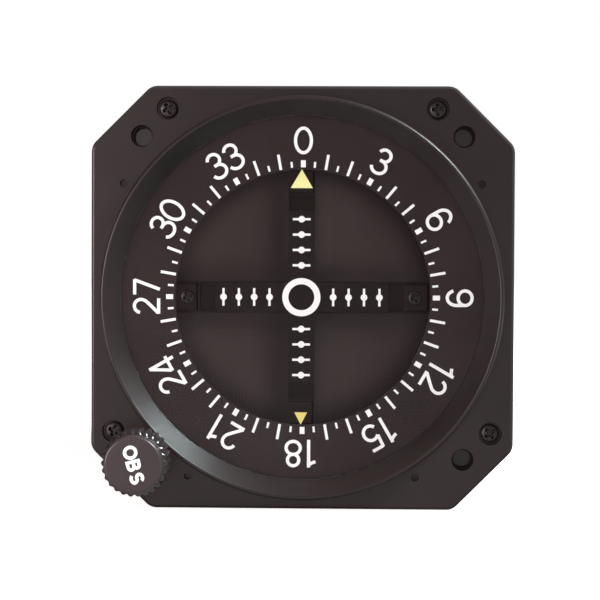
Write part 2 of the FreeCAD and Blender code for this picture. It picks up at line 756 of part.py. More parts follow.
def make_rods():
    """Hexless rods from the resolver plate to the cover, tapped at the back, through the boards."""
    rods = []
    for spot in rod_spots:
        rod = disc(rear_rod_r, resolver_plate_back, case_back, spot)
        rods.append(rod.cut(disc(cover_screw_r, case_back - cover_screw_grip, case_back + 1, spot)))
    return rods


def make_board(place):
    """Octagonal circuit board on the four rear rods."""
    body = octagon(board_half, board_corner, place, place + board_thickness)
    return body.cut([disc(rear_rod_r, place - 1, place + 5, spot) for spot in rod_spots])


def board_parts():
    """Larger parts soldered to the backs of the boards."""
    faces = [place + board_thickness for place in board_places]
    parts = []
    for face, cans in ((faces[0], converter_cans), (faces[2], connector_cans)):
        parts += [disc(radius, face, face + height, (x, z)) for x, z, radius, height in cans]
    for face, blocks in zip(faces, (converter_blocks, driver_blocks, connector_blocks)):
        parts += [block((x0, x1), (face, face + height), (z0, z1)) for x0, x1, z0, z1, height in blocks]
    return parts


def make_connector_shell():
    """Drawn steel shell: screw flange on the cover and a D-shaped collar round the sockets."""
    flange = block((-connector_width / 2, connector_width / 2), (cover_back, cover_back + connector_flange),
                   (connector_z - connector_height / 2, connector_z + connector_height / 2))
    uprights = [edge for edge in flange.Edges if edge.BoundBox.YLength > connector_flange - 0.01]
    flange = flange.makeFillet(1.5, uprights)
    collar = connector_outline(connector_inner_width + 2 * connector_shell_wall,
                               connector_inner_height + 2 * connector_shell_wall,
                               case_back, cover_back + connector_flange + connector_rise)
    shell = joined([flange, collar])
    room = connector_outline(connector_inner_width, connector_inner_height, case_back - 1,
                             cover_back + connector_flange + connector_rise + 1)
    cuts = [room] + [disc(jack_stem_r, case_back, cover_back + 5, (x, connector_z))
                     for x in (-jack_spacing / 2, jack_spacing / 2)]
    return shell.cut(cuts)


def make_connector_insert():
    """Moulded block that holds the contacts, standing on the last board."""
    back = cover_back + connector_flange + connector_rise - insert_setback
    front = board_places[-1] + board_thickness
    shoulder = case_back - insert_shoulder
    face = connector_outline(connector_inner_width, connector_inner_height, shoulder, back)
    neck_half = connector_inner_width / 2 - insert_neck_inset
    neck = block((-neck_half, neck_half), (front, shoulder + 0.01),
                 (connector_z - insert_neck_half, connector_z + insert_neck_half))
    return joined([face, neck])


def make_jackposts():
    """Hexagonal posts that hold the connector and take the plug's screws."""
    posts = []
    for x in (-jack_spacing / 2, jack_spacing / 2):
        start = cover_back + connector_flange
        corners = [polar(jack_hex_r / math.cos(math.radians(30)), 60 * side) for side in range(6)]
        post = prism([(x + px, connector_z + pz) for px, pz in corners], start, start + jack_length)
        post = joined([post, disc(jack_stem_r, case_back - jack_grip, start + 0.01, (x, connector_z))])
        posts.append(post.cut(disc(jack_bore_r, start + jack_floor, start + jack_length + 1, (x, connector_z))))
    return posts


def build():
    """Make every piece and write it out."""
    save("bezel", make_bezel())
    save("mounting_inserts", make_inserts())
    save("bezel_screws", [screw(screw_head_r, screw_head_height, screw_thread_r,
                                counterbore_depth - screw_head_height, frame_back - 0.6, spot)
                          for spot in bezel_screw_spots])
    save("front_glass", disc(glass_seat_r - glass_play, glass_front, gasket_front))
    save("glass_gasket", tube(glass_seat_r - glass_play, glass_seat_r - gasket_width, gasket_front, retainer_front))
    save("glass_retainer", tube(glass_seat_r, glass_seat_r - retainer_width, retainer_front, flange_depth))
    save("dial_frame", make_dial_frame())
    save("course_card", tube(rim_r - rim_lip_width, card_inner_r, card_front, web_front))

    idler_phase = meshing_phase(card_teeth, 0.0, idler_teeth, idler_angle)
    toward_knob = math.degrees(math.atan2(knob_spot[1] - idler_spot[1], knob_spot[0] - idler_spot[0]))
    knob_phase = meshing_phase(idler_teeth, idler_phase, knob_teeth, toward_knob)
    lay_phase = meshing_phase(card_teeth, 0.0, lay_teeth, lay_angle)
    save("card_gear", make_card_gear(0.0))
    idler = gear_blank(idler_teeth, idler_phase, tooth_front, tooth_back, idler_spot)
    save("idler_gear", idler.cut(disc(idler_pin_r + running_play, 0, 20, idler_spot)))
    pin = joined([disc(idler_pin_r, flange_depth, tooth_back + 0.11, idler_spot),
                  disc(idler_pin_head_r, tooth_back + 0.1, tooth_back + 0.1 + idler_pin_head_height, idler_spot)])
    save("idler_pin", pin)
    pinion = gear_blank(knob_teeth, knob_phase, tooth_front, tooth_back, knob_spot)
    save("knob_pinion", pinion.cut(disc(shaft_r, 0, 20, knob_spot)))

    save("knob", make_knob())
    save("knob_set_screw", make_set_screw())
    save("knob_shaft", disc(shaft_r, -knob_front + knob_cap_height, tooth_back + 2 * clip_thickness, knob_spot))
    save("shaft_clip", tube(clip_r, shaft_r, tooth_back, tooth_back + clip_thickness, knob_spot))
    sleeve = [tube(bushing_r, shaft_r + running_play, -bushing_flange_rise, flange_depth, knob_spot),
              tube(bushing_flange_r, shaft_r + running_play, -bushing_flange_rise, bushing_seat_depth, knob_spot)]
    save("shaft_bushing", joined(sleeve))

    lay_back = resolver_plate_back + 1.5
    save("layshaft", disc(shaft_r, flange_depth + 0.2, lay_back, lay_spot))
    front_pinion = gear_blank(lay_teeth, lay_phase, tooth_front, tooth_back, lay_spot)
    save("layshaft_front_pinion", front_pinion.cut(disc(shaft_r, 0, 20, lay_spot)))
    rear_pinion = gear_blank(lay_teeth, lay_phase, wheel_front, wheel_back, lay_spot)
    save("layshaft_rear_pinion", rear_pinion.cut(disc(shaft_r, 0, 60, lay_spot)))
    save("layshaft_bushings", [tube(shaft_r * 2, shaft_r + running_play, plate_front, plate_back, lay_spot),
                               tube(shaft_r * 2, shaft_r + running_play, resolver_plate_front,
                                    resolver_plate_back, lay_spot)])
    save("resolver_gear", make_resolver_gear(0.0))
    save("resolver_shaft", joined([disc(shaft_r, wheel_front - hub_height, resolver_plate_back + resolver_shaft_grip),
                                   disc(resolver_hub_r, wheel_front - hub_height, wheel_front)]))
    save("resolver_body", make_resolver())
    save("resolver_cleats", make_cleats())
    save("resolver_plate", make_resolver_plate())

    save("dial_mask", make_mask())
    save("mask_screws", [screw(mask_screw_head_r, mask_screw_head_height, mask_screw_r,
                               mask_front + end_block_drop - mask_screw_head_height, carrier_back, (x, 0.0))
                         for x in (-mask_screw_x, mask_screw_x)])
    save("mask_carrier", make_carrier())
    save("carrier_posts", [disc(post_r, carrier_back, plate_front, spot) for spot in carrier_post_spots])
    for turn, name in enumerate(("glideslope_flag", "to_vane", "navigation_flag", "from_vane")):
        save(name, make_vane(turn))
    save("flag_actuators", make_actuators())

    course = needle_drive(course_bar_front, course_drive_front,
                          (carrier_back, course_drive_front + drive_depth))
    glide = needle_drive(glide_bar_front, glide_drive_front, (glide_drive_front, plate_front))
    for piece in ("needle", "carriage", "coil"):
        save("course_" + piece, course[piece])
        save("glideslope_" + piece, about_dial(glide[piece], -90))
    for group in ("guide_rods", "magnet_bars", "drive_brackets"):
        save(group, course[group] + [about_dial(solid, -90) for solid in glide[group]])

    save("mechanism_plate", make_mechanism_plate())
    save("frame_posts", [disc(frame_post_r, frame_back, plate_front, spot) for spot in frame_post_spots])
    save("plate_spacers", [disc(frame_post_r, plate_back, resolver_plate_front, spot) for spot in spacer_spots])
    save("rear_rods", make_rods())
    for name, place in zip(("converter_board", "driver_board", "connector_board"), board_places):
        save(name, make_board(place))
    save("board_components", board_parts())
    save("case", make_case())
    save("rear_cover", make_cover())
    save("cover_screws", make_cover_screws())
    save("connector_shell", make_connector_shell())
    save("connector_insert", make_connector_insert())
    save("jackposts", make_jackposts())


os.makedirs("parts", exist_ok=True)
build()
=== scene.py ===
import bpy
import math
import numpy as np
from mathutils import Matrix, Vector


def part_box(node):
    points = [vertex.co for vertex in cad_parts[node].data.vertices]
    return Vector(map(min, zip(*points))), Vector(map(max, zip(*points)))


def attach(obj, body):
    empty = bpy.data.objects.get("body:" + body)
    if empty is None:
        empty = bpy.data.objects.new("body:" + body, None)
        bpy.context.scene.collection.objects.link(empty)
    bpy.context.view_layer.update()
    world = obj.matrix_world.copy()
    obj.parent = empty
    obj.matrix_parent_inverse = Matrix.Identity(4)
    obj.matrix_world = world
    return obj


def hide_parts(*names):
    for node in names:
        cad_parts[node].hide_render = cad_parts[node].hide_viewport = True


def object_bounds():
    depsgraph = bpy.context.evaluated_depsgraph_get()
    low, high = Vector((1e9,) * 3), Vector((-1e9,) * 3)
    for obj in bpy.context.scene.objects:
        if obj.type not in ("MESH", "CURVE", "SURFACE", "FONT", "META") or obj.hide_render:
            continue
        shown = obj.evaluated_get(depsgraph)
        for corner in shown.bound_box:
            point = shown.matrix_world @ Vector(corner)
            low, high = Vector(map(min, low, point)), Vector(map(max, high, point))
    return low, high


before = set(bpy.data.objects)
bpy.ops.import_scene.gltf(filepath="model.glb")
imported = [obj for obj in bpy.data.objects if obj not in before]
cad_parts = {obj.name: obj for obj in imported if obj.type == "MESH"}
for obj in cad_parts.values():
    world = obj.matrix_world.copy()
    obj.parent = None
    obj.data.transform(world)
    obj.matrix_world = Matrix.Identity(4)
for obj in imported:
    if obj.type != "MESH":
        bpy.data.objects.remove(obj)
cad_bounds = [list(corner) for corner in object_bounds()]
# Pieces are written in millimetres, and times mm they are in metres. The studio is in metres.
mm = 0.001

# Camera: close to the dial axis, a little to the right of it and above it,
# 353 mm in front of the flange, with a long lens and no shift.
camera_place = (9.36 * mm, -353.2 * mm, 7.55 * mm)
camera_pan = math.radians(1.581)
camera_dip = math.radians(-1.291)
camera_roll = math.radians(0.276)
focal_pixels = 1812.3
picture_pixels = 600
sensor_mm = 36.0
camera_data = bpy.data.cameras.new("camera")
camera_data.sensor_width = sensor_mm
camera_data.lens = sensor_mm * focal_pixels / picture_pixels
camera_data.clip_start = 0.01
camera = bpy.data.objects.new("camera", camera_data)
bpy.context.scene.collection.objects.link(camera)
camera.matrix_world = (Matrix.Translation(camera_place) @ Matrix.Rotation(math.radians(90), 4, "X")
                       @ Matrix.Rotation(camera_pan, 4, "Y") @ Matrix.Rotation(camera_dip, 4, "X")
                       @ Matrix.Rotation(camera_roll, 4, "Z"))
bpy.context.scene.camera = camera
bpy.context.scene.view_settings.view_transform = "Standard"


# Bezel: one die casting, blasted and coated matt brown-black. The coat is finely pitted,
# carries faint cloudy shade from handling, and is duller on the rounded outer edge.
noise_span = (0.3, 0.7)
cloud_detail = 4.0
grain_detail = 2.0
bump_gain = 4
least_roughness = 0.02


def ramp(material, source, limits, results, smooth=False):
    """Map Range node: takes source from its two limits to the two results, and holds beyond them."""
    node = material.node_tree.nodes.new("ShaderNodeMapRange")
    if smooth:
        node.interpolation_type = "SMOOTHSTEP"
    for label, value in zip(("From Min", "From Max", "To Min", "To Max"), (*limits, *results)):
        node.inputs[label].default_value = value
    material.node_tree.links.new(source, node.inputs["Value"])
    return node.outputs["Result"]


def surface(name, colour, roughness, metallic=0.0, specular=0.3, cloud=(60.0, 0.12), grain=(3500.0, 0.05),
            gloss_change=0.08, stretch=(1, 1, 1)):
    """Principled finish: colour times low noise, roughness plus noise, bump from fine noise.

    cloud and grain are (noise scale per metre, amount); stretch scales object coordinates.
    """
    material = bpy.data.materials.new(name)
    material.use_nodes = True
    nodes, links = material.node_tree.nodes, material.node_tree.links
    shader = nodes["Principled BSDF"]
    shader.inputs["Metallic"].default_value = metallic
    shader.inputs["Specular IOR Level"].default_value = specular
    coordinates = nodes.new("ShaderNodeTexCoord")
    mapping = nodes.new("ShaderNodeMapping")
    mapping.inputs["Scale"].default_value = stretch
    links.new(coordinates.outputs["Object"], mapping.inputs["Vector"])
    low = nodes.new("ShaderNodeTexNoise")
    low.inputs["Scale"].default_value = cloud[0]
    low.inputs["Detail"].default_value = cloud_detail
    fine = nodes.new("ShaderNodeTexNoise")
    fine.inputs["Scale"].default_value = grain[0]
    fine.inputs["Detail"].default_value = grain_detail
    for noise in (low, fine):
        links.new(mapping.outputs["Vector"], noise.inputs["Vector"])
    shade = ramp(material, low.outputs["Fac"], noise_span, (1.0 - cloud[1], 1.0 + cloud[1]))
    tint = nodes.new("ShaderNodeVectorMath")
    tint.operation = "SCALE"
    tint.inputs[0].default_value = colour
    links.new(shade, tint.inputs["Scale"])
    links.new(tint.outputs["Vector"], shader.inputs["Base Color"])
    gloss_limits = (max(roughness - gloss_change, least_roughness), min(roughness + gloss_change, 1.0))
    links.new(ramp(material, fine.outputs["Fac"], (0.0, 1.0), gloss_limits), shader.inputs["Roughness"])
    bump = nodes.new("ShaderNodeBump")
    bump.inputs["Strength"].default_value = min(grain[1] * bump_gain, 1.0)
    bump.inputs["Distance"].default_value = grain[1] * mm
    links.new(fine.outputs["Fac"], bump.inputs["Height"])
    links.new(bump.outputs["Normal"], shader.inputs["Normal"])
    return material


def dress(material, *node_names):
    """Gives CAD nodes one finish."""
    for node_name in node_names:
        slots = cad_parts[node_name].data.materials
        slots.clear()
        slots.append(material)


bezel_coat = surface("bezel_coat", (0.0165, 0.0100, 0.0100), 0.37, specular=0.4, gloss_change=0.05,
                     grain=(4200.0, 0.022))
edge_roughness = 0.85
corner_line = 70.85
corner_band = 0.96
side_line = 41.275
side_band = 0.66
edge_fade = 0.1


def combine(material, operation, *values):
    """Math node over sockets or plain numbers; gives its result socket."""
    node = material.node_tree.nodes.new("ShaderNodeMath")
    node.operation = operation
    for number, value in enumerate(values):
        if isinstance(value, float):
            node.inputs[number].default_value = value
        else:
            material.node_tree.links.new(value, node.inputs[number])
    return node.outputs["Value"]


def dull_edges(material):
    """Roughens the coat on the rounded outer edge, all but its straight left side.

    The edge is where |x| + |z| comes within corner_band of corner_line, or the larger of x and |z|
    comes within side_band of side_line.
    """
    nodes, links = material.node_tree.nodes, material.node_tree.links
    apart = nodes.new("ShaderNodeSeparateXYZ")
    links.new(nodes["Texture Coordinate"].outputs["Object"], apart.inputs["Vector"])
    height = combine(material, "ABSOLUTE", apart.outputs["Z"])
    corner = combine(material, "ADD", combine(material, "ABSOLUTE", apart.outputs["X"]), height)
    side = combine(material, "MAXIMUM", apart.outputs["X"], height)
    past_corner = combine(material, "SUBTRACT", corner, (corner_line - corner_band) * mm)
    past_side = combine(material, "SUBTRACT", side, (side_line - side_band) * mm)
    past_edge = combine(material, "MAXIMUM", past_corner, past_side)
    matt = ramp(material, past_edge, (0.0, edge_fade * mm), (0.0, edge_roughness))
    rough = nodes["Principled BSDF"].inputs["Roughness"]
    links.new(combine(material, "MAXIMUM", rough.links[0].from_socket, matt), rough)


dull_edges(bezel_coat)
dress(bezel_coat, "bezel")


# Plain steel parts: the window's spring ring, shafts, pins and guide rods are bright drawn steel.
# The mounting nuts behind the three open holes and the resolver cleats are dull.
plain_steel = surface("plain_steel", (0.42, 0.41, 0.40), 0.38, metallic=1.0, specular=0.5,
                      grain=(2600.0, 0.02), stretch=(1, 6, 1))
dull_steel = surface("dull_steel", (0.010, 0.008, 0.008), 0.6, metallic=0.3, specular=0.1,
                     grain=(2600.0, 0.02))
dress(plain_steel, "glass_retainer", "knob_shaft", "shaft_clip", "layshaft", "resolver_shaft", "guide_rods",
      "idler_pin")
dress(dull_steel, "mounting_inserts", "resolver_cleats")


# Cross-recessed screws of the bezel, the mask and the rear cover: cold-headed, blackened steel.
# The head is a low crown with a tapered cross punched into it, and the plain shank ends in its seat.
def lay_mesh(name, points, faces, material, body, slot, smooth=True):
    """Object in metres from millimetre points; its place is in the mesh and it rides on a body."""
    mesh = bpy.data.meshes.new(name)
    mesh.from_pydata((np.asarray(points, float) * mm).tolist(), [], [list(face) for face in faces])
    mesh.materials.append(material)
    mesh.validate()
    if smooth:
        mesh.polygons.foreach_set("use_smooth", np.ones(len(mesh.polygons), bool))
    mesh.update()
    piece = bpy.data.objects.new(name, mesh)
    bpy.context.scene.collection.objects.link(piece)
    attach(piece, body)
    return piece


def grid_faces(rows, columns, wrap=False):
    """Quads over a rows by columns grid of points numbered row by row; wrap closes each row."""
    last = columns if wrap else columns - 1
    row, column = np.meshgrid(np.arange(rows - 1), np.arange(last), indexing="ij")
    here = row * columns + column
    beside = row * columns + (column + 1) % columns
    return np.stack([here, beside, beside + columns, here + columns], -1).reshape(-1, 4)


def joined_parts(parts):
    """One list of points and one of faces out of several (points, faces) pairs."""
    points, faces, count = [], [], 0
    for part_points, part_faces in parts:
        points.append(np.asarray(part_points, float))
        faces.extend((np.asarray(face) + count).tolist() for face in part_faces)
        count += len(part_points)
    return np.concatenate(points), faces


def cross_head(radius, height, spot, seat, turn, facing):
    """Screw head: a crown with a cross of two arms cut into it.

    The crown is height * (flat * (1 - s^8)^(1/4) + (1 - flat) * (1 - s^2)), where s is r / radius.
    spot is the axis (x, z), seat the depth of the head's underside, facing -1 towards the dial side.
    """
    rings = 46
    steps = 144
    flat = 0.86
    cut = 0.72
    share = np.linspace(0.0, 1.0, rings)[:, None]
    angle = np.linspace(0, 2 * math.pi, steps, endpoint=False)[None, :]
    across = share * radius * np.cos(angle - turn)
    along = share * radius * np.sin(angle - turn)
    crown = height * (flat * (1 - share ** 8) ** 0.25 + (1 - flat) * (1 - share ** 2)) + 0 * angle
    slit = 0.15 * radius
    reach = 0.68 * radius
    soft = 0.09 * radius

    def arm(lengthwise, sideways):
        """1 inside one arm of the cross, falling to 0 over the soft width."""
        side = np.clip((slit + soft * 0.5 - np.abs(sideways)) / soft, 0, 1)
        end = np.clip((reach - np.abs(lengthwise)) / (soft * 3), 0, 1)
        return side * end

    depth = np.maximum(arm(across, along), arm(along, across))
    level = crown - cut * height * depth
    level[-1] = 0
    x = spot[0] + share * radius * np.cos(angle)
    z = spot[1] + share * radius * np.sin(angle)
    y = seat + facing * level
    points = np.stack([x, y, z], -1)[1:].reshape(-1, 3)
    centre = [[spot[0], seat + facing * level[0, 0], spot[1]], [spot[0], seat, spot[1]]]
    faces = grid_faces(rings - 1, steps, wrap=True)
    count = len(points)
    ring = np.arange(steps)
    beside = (ring + 1) % steps
    inner = np.stack([np.full(steps, count), beside, ring], -1)
    last = (rings - 2) * steps
    outer = np.stack([np.full(steps, count + 1), last + ring, last + beside], -1)
    faces = [face[::-1] if facing > 0 else face for face in [*faces, *inner, *outer]]
    return np.concatenate([points, centre]), faces


def shank(radius, back, front, spot, steps=48):
    """Plain cylinder along the depth from back to front, closed by its two discs."""
    angle = np.linspace(0, 2 * math.pi, steps, endpoint=False)
    rings = [np.column_stack([spot[0] + radius * np.cos(angle), np.full(steps, depth),
                              spot[1] + radius * np.sin(angle)]) for depth in (back, front)]
    faces = list(grid_faces(2, steps, wrap=True)) + [np.arange(steps)[::-1], np.arange(steps) + steps]
    return np.concatenate(rings), faces


seat_overlap = 0.01


def screws(radius, height, shank_radius, seat, tip, spots, turns, facing=-1):
    """Points and faces of a set of screws: a head and a shank at each (x, z) spot.

    turns are the angles at which the crosses happen to stand, and tip is the depth of the shank's end.
    """
    parts = []
    front, back = sorted((tip, seat + facing * seat_overlap))
    for spot, turn in zip(spots, turns):
        parts.append(cross_head(radius, height, spot, seat, turn, facing))
        parts.append(shank(shank_radius, back, front, spot))
    return joined_parts(parts)


def node_box(node_name):
    """Lowest and highest corner of a CAD node in millimetres."""
    low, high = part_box(node_name)
    return np.array(low) / mm, np.array(high) / mm


screw_steel = surface("screw_steel", (0.038, 0.032, 0.031), 0.42, metallic=0.6, specular=0.5,
                      cloud=(900.0, 0.1), grain=(5000.0, 0.01))
bezel_low, bezel_high = node_box("bezel_screws")
head_radius = 1.8
head_height = 1.5
shank_radius = 1.1
side_at = bezel_high[2] - head_radius
across_at = -(bezel_low[2] + head_radius)
head_seat = bezel_low[1] + head_height
bezel_spots = [(-across_at, side_at), (across_at, side_at), (-side_at, -across_at), (side_at, -across_at)]
bezel_turns = (0.5, 1.6, 2.7, 3.8)
bezel_set = screws(head_radius, head_height, shank_radius, head_seat, bezel_high[1], bezel_spots, bezel_turns)
bezel_heads = lay_mesh("bezel_screw_heads", *bezel_set, screw_steel, "root", slot="screw_steel")
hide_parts("bezel_screws")

mask_shift = (-0.45, -0.12)
mask_low, mask_high = node_box("mask_screws")
mask_head_gap = 0.1
mask_head_radius = (mask_high[2] - mask_low[2]) / 2 - mask_head_gap
mask_head_height = 0.6
mask_head_inset = 1.5
mask_shank_radius = 0.8
mask_seat = mask_low[1] + mask_head_height
mask_spots = [(x + mask_shift[0], mask_shift[1])
              for x in (mask_low[0] + mask_head_inset, mask_high[0] - mask_head_inset)]
mask_turns = (0.4, 0.4)
mask_set = screws(mask_head_radius, mask_head_height, mask_shank_radius, mask_seat, mask_high[1],
                  mask_spots, mask_turns)
black_screw = surface("black_screw", (0.03, 0.027, 0.026), 0.35, metallic=0.5, specular=0.5,
                      grain=(5000.0, 0.01))
mask_heads = lay_mesh("mask_screw_heads", *mask_set, black_screw, "root", slot="screw_steel")
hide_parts("mask_screws")

cover_low, cover_high = node_box("cover_screws")
cover_head_radius = 2.6
cover_head_height = 1.8
cover_shank_radius = 1.3
cover_seat = cover_high[1] - cover_head_height
cover_spots = [(sx * (cover_high[0] - cover_head_radius), sz * (cover_high[2] - cover_head_radius))
               for sx in (-1, 1) for sz in (-1, 1)]
cover_turns = (0.3, 1.1, 1.9, 2.7)
cover_set = screws(cover_head_radius, cover_head_height, cover_shank_radius, cover_seat, cover_low[1],
                   cover_spots, cover_turns, facing=1)
cover_heads = lay_mesh("cover_screw_heads", *cover_set, screw_steel, "root", slot="screw_steel")
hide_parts("cover_screws")
dress(dull_steel, "knob_set_screw")


# Rim of the bezel's raised ring: the casting's lip with its outer edge broken by a wide bevel,
# which catches the lamp as a fine line along the upper right.
rim_outer = 39.25
rim_inner = 38.28
rim_top = -3.05
rim_back = 0.5
rim_loop = [(rim_inner + 0.22, rim_back), (rim_outer, rim_back), (rim_outer, rim_top + 0.65),
            (rim_outer - 0.05, rim_top + 0.5), (rim_outer - 0.35, rim_top + 0.07),
            (rim_outer - 0.45, rim_top), (rim_inner + 0.19, rim_top), (rim_inner, rim_top + 0.2),
            (rim_inner, rim_top + 0.45)]


def turned_ring(loop, steps=720):
    """Ring about the dial axis: each (radius, depth) point of the closed loop carried round the circle."""
    angle = np.linspace(0, 2 * math.pi, steps, endpoint=False)[None, :]
    radius, depth = np.array(loop).T[:, :, None]
    points = np.stack([radius * np.cos(angle), depth + 0 * angle, radius * np.sin(angle)], -1).reshape(-1, 3)
    row, column = np.meshgrid(np.arange(len(loop)), np.arange(steps), indexing="ij")
    ahead, beside = (row + 1) % len(loop), (column + 1) % steps
    faces = np.stack([row * steps + column, row * steps + beside,
                      ahead * steps + beside, ahead * steps + column], -1).reshape(-1, 4)
    return points, faces


lay_mesh("ring_rim", *turned_ring(rim_loop), bezel_coat, "root", slot="bezel_finish")


# Window: flat coated glass seated behind the conical recess, and its black rubber gasket.
# It barely shows: a few percent of a soft reflection over a clear view.
def window_finish():
    """Clear transmission mixed with a faint mirror that grows towards grazing view."""
    material = bpy.data.materials.new("window_glass")
    material.use_nodes = True
    nodes, links = material.node_tree.nodes, material.node_tree.links
    nodes.clear()
    output = nodes.new("ShaderNodeOutputMaterial")
    mix = nodes.new("ShaderNodeMixShader")
    clear = nodes.new("ShaderNodeBsdfTransparent")
    clear.inputs["Color"].default_value = (0.985, 0.99, 0.99, 1)
    mirror = nodes.new("ShaderNodeBsdfGlossy")
    mirror.inputs["Color"].default_value = (0.75, 0.82, 0.85, 1)
    mirror.inputs["Roughness"].default_value = 0.06
    rim = nodes.new("ShaderNodeFresnel")
    rim.inputs["IOR"].default_value = 1.18
    coordinates = nodes.new("ShaderNodeTexCoord")
    smear = nodes.new("ShaderNodeTexNoise")
    smear.inputs["Scale"].default_value = 35.0
    links.new(coordinates.outputs["Object"], smear.inputs["Vector"])
    links.new(combine(material, "MULTIPLY", rim.outputs["Fac"], smear.outputs["Fac"]), mix.inputs["Fac"])
    links.new(clear.outputs["BSDF"], mix.inputs[1])
    links.new(mirror.outputs["BSDF"], mix.inputs[2])
    links.new(mix.outputs["Shader"], output.inputs["Surface"])
    return material


dress(window_finish(), "front_glass")
seal_rubber = surface("seal_rubber", (0.018, 0.018, 0.018), 0.75, specular=0.3, grain=(1500.0, 0.08))
dress(seal_rubber, "glass_gasket")


# Course card: stamped aluminium painted matt brown-black, screen printed in off-white.
# Every 5 degrees has a tick, every 10 a long one, every 30 a block with its numeral outside.
card_paint = surface("card_paint", (0.031, 0.0205, 0.0212), 0.7, specular=0.12, grain=(5200.0, 0.03))
dress(card_paint, "course_card")
white_ink = surface("white_ink", (0.93, 0.93, 0.93), 0.55, specular=0.3, cloud=(900.0, 0.04),
                    grain=(6000.0, 0.02))
ink_thickness = 0.03
ink_step = 0.002
ink_sunk = 0.005
card_face = node_box("course_card")[0][1]


def stroke(path, width, front, closed=False, layer=0):
    """Ink line: a rectangle of width by ink_thickness carried along the (x, z) path at one depth.

    Each layer stands ink_step prouder, so that crossing lines don't share a face, and the foot is
    ink_sunk below the painted face.
    """
    path = np.asarray(path, float)
    if closed:
        ahead, behind = np.roll(path, -1, 0), np.roll(path, 1, 0)
    else:
        ahead, behind = np.vstack([path[1:], path[-1:]]), np.vstack([path[:1], path[:-1]])
    along = ahead - behind
    along /= np.linalg.norm(along, axis=1, keepdims=True)
    side = np.stack([-along[:, 1], along[:, 0]], -1) * width / 2
    left, right = path + side, path - side
    top = front - ink_thickness - layer * ink_step
    bottom = front + ink_sunk
    rings = [np.column_stack([edge[:, 0], np.full(len(path), depth), edge[:, 1]])
             for edge, depth in ((left, top), (right, top), (right, bottom), (left, bottom))]
    points = np.stack(rings, 1).reshape(-1, 4, 3)
    count = len(points)
    if closed:
        points = np.concatenate([points, points[:1]])
    faces = list(grid_faces(len(points), 4, wrap=True))
    if not closed:
        faces += [np.array([3, 2, 1, 0]), np.array([0, 1, 2, 3]) + 4 * (count - 1)]
    return points.reshape(-1, 3), [np.asarray(face)[::-1] for face in faces]


def bow(x, z, radius_x, radius_z, start, end, steps=22):
    """Points on an ellipse about (x, z) from one angle to another, in degrees."""
    angle = np.radians(np.linspace(start, end, steps))
    return np.column_stack([x + radius_x * np.cos(angle), z + radius_z * np.sin(angle)])


def sweep(start, pull, end, steps):
    """Quadratic curve from start to end, drawn towards pull."""
    share = np.linspace(0, 1, steps)[:, None]
    start, pull, end = np.array(start), np.array(pull), np.array(end)
    return (1 - share) ** 2 * start + 2 * share * (1 - share) * pull + share ** 2 * end


# Numerals on a body of height 1: each is a list of (path, closed) centre lines, and a closed path
# stops just short of its start.
two_hook = np.vstack([bow(0, 0.70, 0.235, 0.24, 172, -25),
                      sweep((0.19, 0.54), (0.06, 0.38), (-0.25, 0.075), 8)])
six_bowl = bow(0, 0.305, 0.262, 0.25, 0, 352, 40)
six_stem = np.vstack([bow(0.005, 0.615, 0.268, 0.33, 20, 180, 26), [(-0.264, 0.45), (-0.262, 0.31)]])
numeral_paths = {
    "0": [(bow(0, 0.5, 0.285, 0.44, 0, 352.8, 50), True)],
    "1": [([(0.08, 0.0), (0.08, 1.0)], False), (sweep((0.09, 0.93), (0.0, 0.83), (-0.17, 0.79), 6), False)],
    "2": [(two_hook, False), ([(-0.275, 0.06), (0.275, 0.06)], False)],
    "3": [(bow(-0.01, 0.73, 0.225, 0.215, 166, -90), False), (bow(-0.01, 0.29, 0.27, 0.24, 90, -162), False),
          ([(-0.09, 0.523), (0.02, 0.523)], False)],
    "4": [([(0.12, 0.0), (0.12, 0.98)], False), ([(0.13, 0.96), (-0.28, 0.27)], False),
          ([(-0.31, 0.25), (0.28, 0.25)], False)],
    "5": [([(-0.2, 0.94), (0.23, 0.94)], False), ([(-0.185, 0.97), (-0.215, 0.50)], False),
          (bow(-0.01, 0.325, 0.255, 0.265, 142, -150), False)],
    "6": [(six_bowl, True), (six_stem, False)],
    "7": [([(-0.27, 0.93), (0.28, 0.93)], False), ([(0.26, 0.94), (-0.08, 0.02)], False)],
    "8": [(bow(0, 0.735, 0.205, 0.205, 0, 352, 36), True), (bow(0, 0.295, 0.255, 0.235, 0, 352, 40), True)],
    "9": [(np.array([0.0, 1.0]) - six_bowl, True), (np.array([0.0, 1.0]) - six_stem, False)],
}
# Each tick is (inner radius, outer radius, width).
short_tick = (25.7, 26.85, 0.42)
long_tick = (25.55, 28.6, 0.54)
block_tick = (25.7, 27.1, 0.96)
numeral_height = 5.5
numeral_stroke = 0.64
numeral_pitch = 3.75
narrow_pitch = 3.5
numeral_centre = 31.0


def about_axis(part, degrees):
    """Points and faces turned clockwise about the dial axis, seen from the front."""
    points, faces = part
    angle = math.radians(degrees)
    x, y, z = np.asarray(points).T
    return np.column_stack([x * math.cos(angle) + z * math.sin(angle), y,
                            z * math.cos(angle) - x * math.sin(angle)]), faces


print_parts = []
for degrees in range(0, 360, 5):
    if degrees % 30 == 0:
        inner, outer, width = block_tick
    elif degrees % 10 == 0:
        inner, outer, width = long_tick
    else:
        inner, outer, width = short_tick
    print_parts.append(about_axis(stroke([(0, inner), (0, outer)], width, card_face), degrees))
for tens in range(0, 36, 3):
    text = str(tens)
    pitch = narrow_pitch if "1" in text else numeral_pitch
    for place, character in enumerate(text):
        shift = (place - (len(text) - 1) / 2) * pitch
        for layer, (path, closed) in enumerate(numeral_paths[character]):
            line = np.asarray(path, float) * numeral_height
            line = line + [shift, numeral_centre - numeral_height / 2]
            print_parts.append(about_axis(stroke(line, numeral_stroke, card_face, closed, layer), tens * 10))
lay_mesh("card_print", *joined_parts(print_parts), white_ink, "course_ring", smooth=False, slot="card_black")


